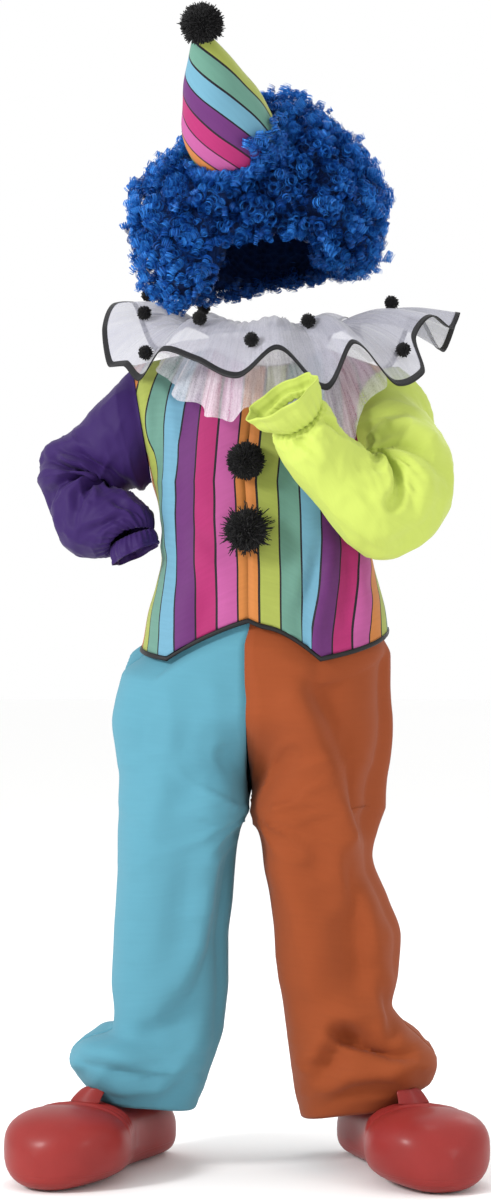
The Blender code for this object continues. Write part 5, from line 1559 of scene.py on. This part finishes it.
# Distances from the heel at which the body's mesh has a ring of points, closest over the raised creases
stations = [0.5, 2, 4.5, 8] + list(range(13, 148, 9)) + [148 + 2.2 * k for k in range(26)]
stations += [211, 219, 227, 235, 243, 251, 258, 264, 270, 275, 280, 284, 286.5, 288.3, 289.4, 290, 290.3]
for side in ("right", "left"):
    heel_x, heel_y, toe_x, toe_y = SHOE_PLACE[side]
    way = math.atan2(toe_y - heel_y, toe_x - heel_x)
    set_down = Matrix.Translation(Vector((heel_x, heel_y, FLOOR)) * MM) @ Matrix.Rotation(way, 4, "Z")

    # The moulded body
    bpy.ops.object.select_all(action="DESELECT")
    bpy.ops.mesh.primitive_grid_add(x_subdivisions=len(stations) - 1, y_subdivisions=SHOE_SIDES, size=1)
    body = bpy.context.object
    body.name = f"vinyl_shoe_{side}"
    for vert in body.data.vertices:
        place = stations[round((vert.co.x + 0.5) * (len(stations) - 1))]
        vert.co = shoe_point(place, (vert.co.y + 0.5) * 2 * math.pi) * MM
    bpy.ops.object.mode_set(mode="EDIT")
    bpy.ops.mesh.select_all(action="SELECT")
    bpy.ops.mesh.remove_doubles(threshold=1e-5)
    bpy.ops.mesh.fill_holes(sides=0)
    bpy.ops.mesh.normals_make_consistent(inside=False)
    bpy.ops.object.mode_set(mode="OBJECT")
    add_wall(body, VINYL)
    bpy.ops.mesh.primitive_cylinder_add(vertices=RIM_SIDES, radius=1, depth=0.09,
                                        location=(ANKLE[0] * MM, 0, 0.075))
    cutter = bpy.context.object
    cutter.scale = (ANKLE[1] * MM, ANKLE[2] * MM, 1)
    bpy.ops.object.transform_apply(location=True, rotation=True, scale=True)
    mouth = body.modifiers.new("mouth", "BOOLEAN")
    mouth.operation = "DIFFERENCE"
    mouth.solver = "EXACT"
    mouth.object = cutter
    bpy.ops.object.select_all(action="DESELECT")
    bpy.context.view_layer.objects.active = body
    body.select_set(True)
    bpy.ops.object.modifier_apply(modifier="wall")
    bpy.ops.object.modifier_apply(modifier="mouth")
    bpy.data.objects.remove(cutter, do_unlink=True)

    # The rolled edge of the opening follows the top of the shoe
    bpy.ops.mesh.primitive_torus_add(major_segments=RIM_SIDES, minor_segments=8, major_radius=1,
                                     minor_radius=RIM_TUBE)
    edge = bpy.context.object
    for vert in edge.data.vertices:
        swing = math.atan2(vert.co.y, vert.co.x)
        out = (math.hypot(vert.co.x, vert.co.y) - 1) * (RIM_ROLL / RIM_TUBE)
        place = ANKLE[0] + (ANKLE[1] - RIM_INSET + out) * math.cos(swing)
        across = (ANKLE[2] - RIM_INSET + out) * math.sin(swing)
        reach = row_at(SHOE, ANKLE[0] + ANKLE[1] * math.cos(swing))[0]
        corner = math.acos(min(1.0, abs(ANKLE[2] * math.sin(swing)) / reach) ** (1 / SQUARE))
        level = shoe_point(ANKLE[0] + ANKLE[1] * math.cos(swing), corner).z - RIM_SUNK
        vert.co = Vector((place, across, level + vert.co.z * (RIM_ROLL / RIM_TUBE))) * MM
    body.select_set(True)
    bpy.context.view_layer.objects.active = body
    bpy.ops.object.join()
    bpy.ops.object.shade_smooth_by_angle(angle=math.radians(50))
    body.data.transform(set_down)
    body.data.materials.append(vinyl)
    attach(body, "root")
    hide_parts(f"shoe_{side}")

    # The tongue
    foot_place, tip_place, tip_level, half_width, thick, bend_back, taper, shoulder, tip_length = TONGUE
    foot_level = row_at(SHOE, foot_place)[1]
    bpy.ops.object.select_all(action="DESELECT")
    bpy.ops.mesh.primitive_grid_add(x_subdivisions=16, y_subdivisions=12, size=2)
    tongue = bpy.context.object
    tongue.name = f"vinyl_tongue_{side}"
    for vert in tongue.data.vertices:
        bend, share = vert.co.x, (vert.co.y + 1) / 2
        past = max(0.0, share - shoulder) / tip_length
        width = half_width * (1 - taper * share) * math.sqrt(max(0.0, 1 - past ** 2))
        sideways = width * bend + TONGUE_LEAN[side] * share ** 1.4
        forward = foot_place + (tip_place - foot_place) * share - bend_back * bend * bend
        level = foot_level + 0.9 + (tip_level - foot_level) * share - 1.5 * bend * bend * share
        vert.co = Vector((forward, sideways, level)) * MM
    add_wall(tongue, thick, offset=1)
    rounding = tongue.modifiers.new("rounding", "BEVEL")
    rounding.width = 0.0008
    rounding.segments = 2
    tongue.data.shade_smooth()
    tongue.data.transform(set_down)
    tongue.data.materials.append(vinyl)
    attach(tongue, "root")
    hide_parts(f"shoe_{side}_tongue")
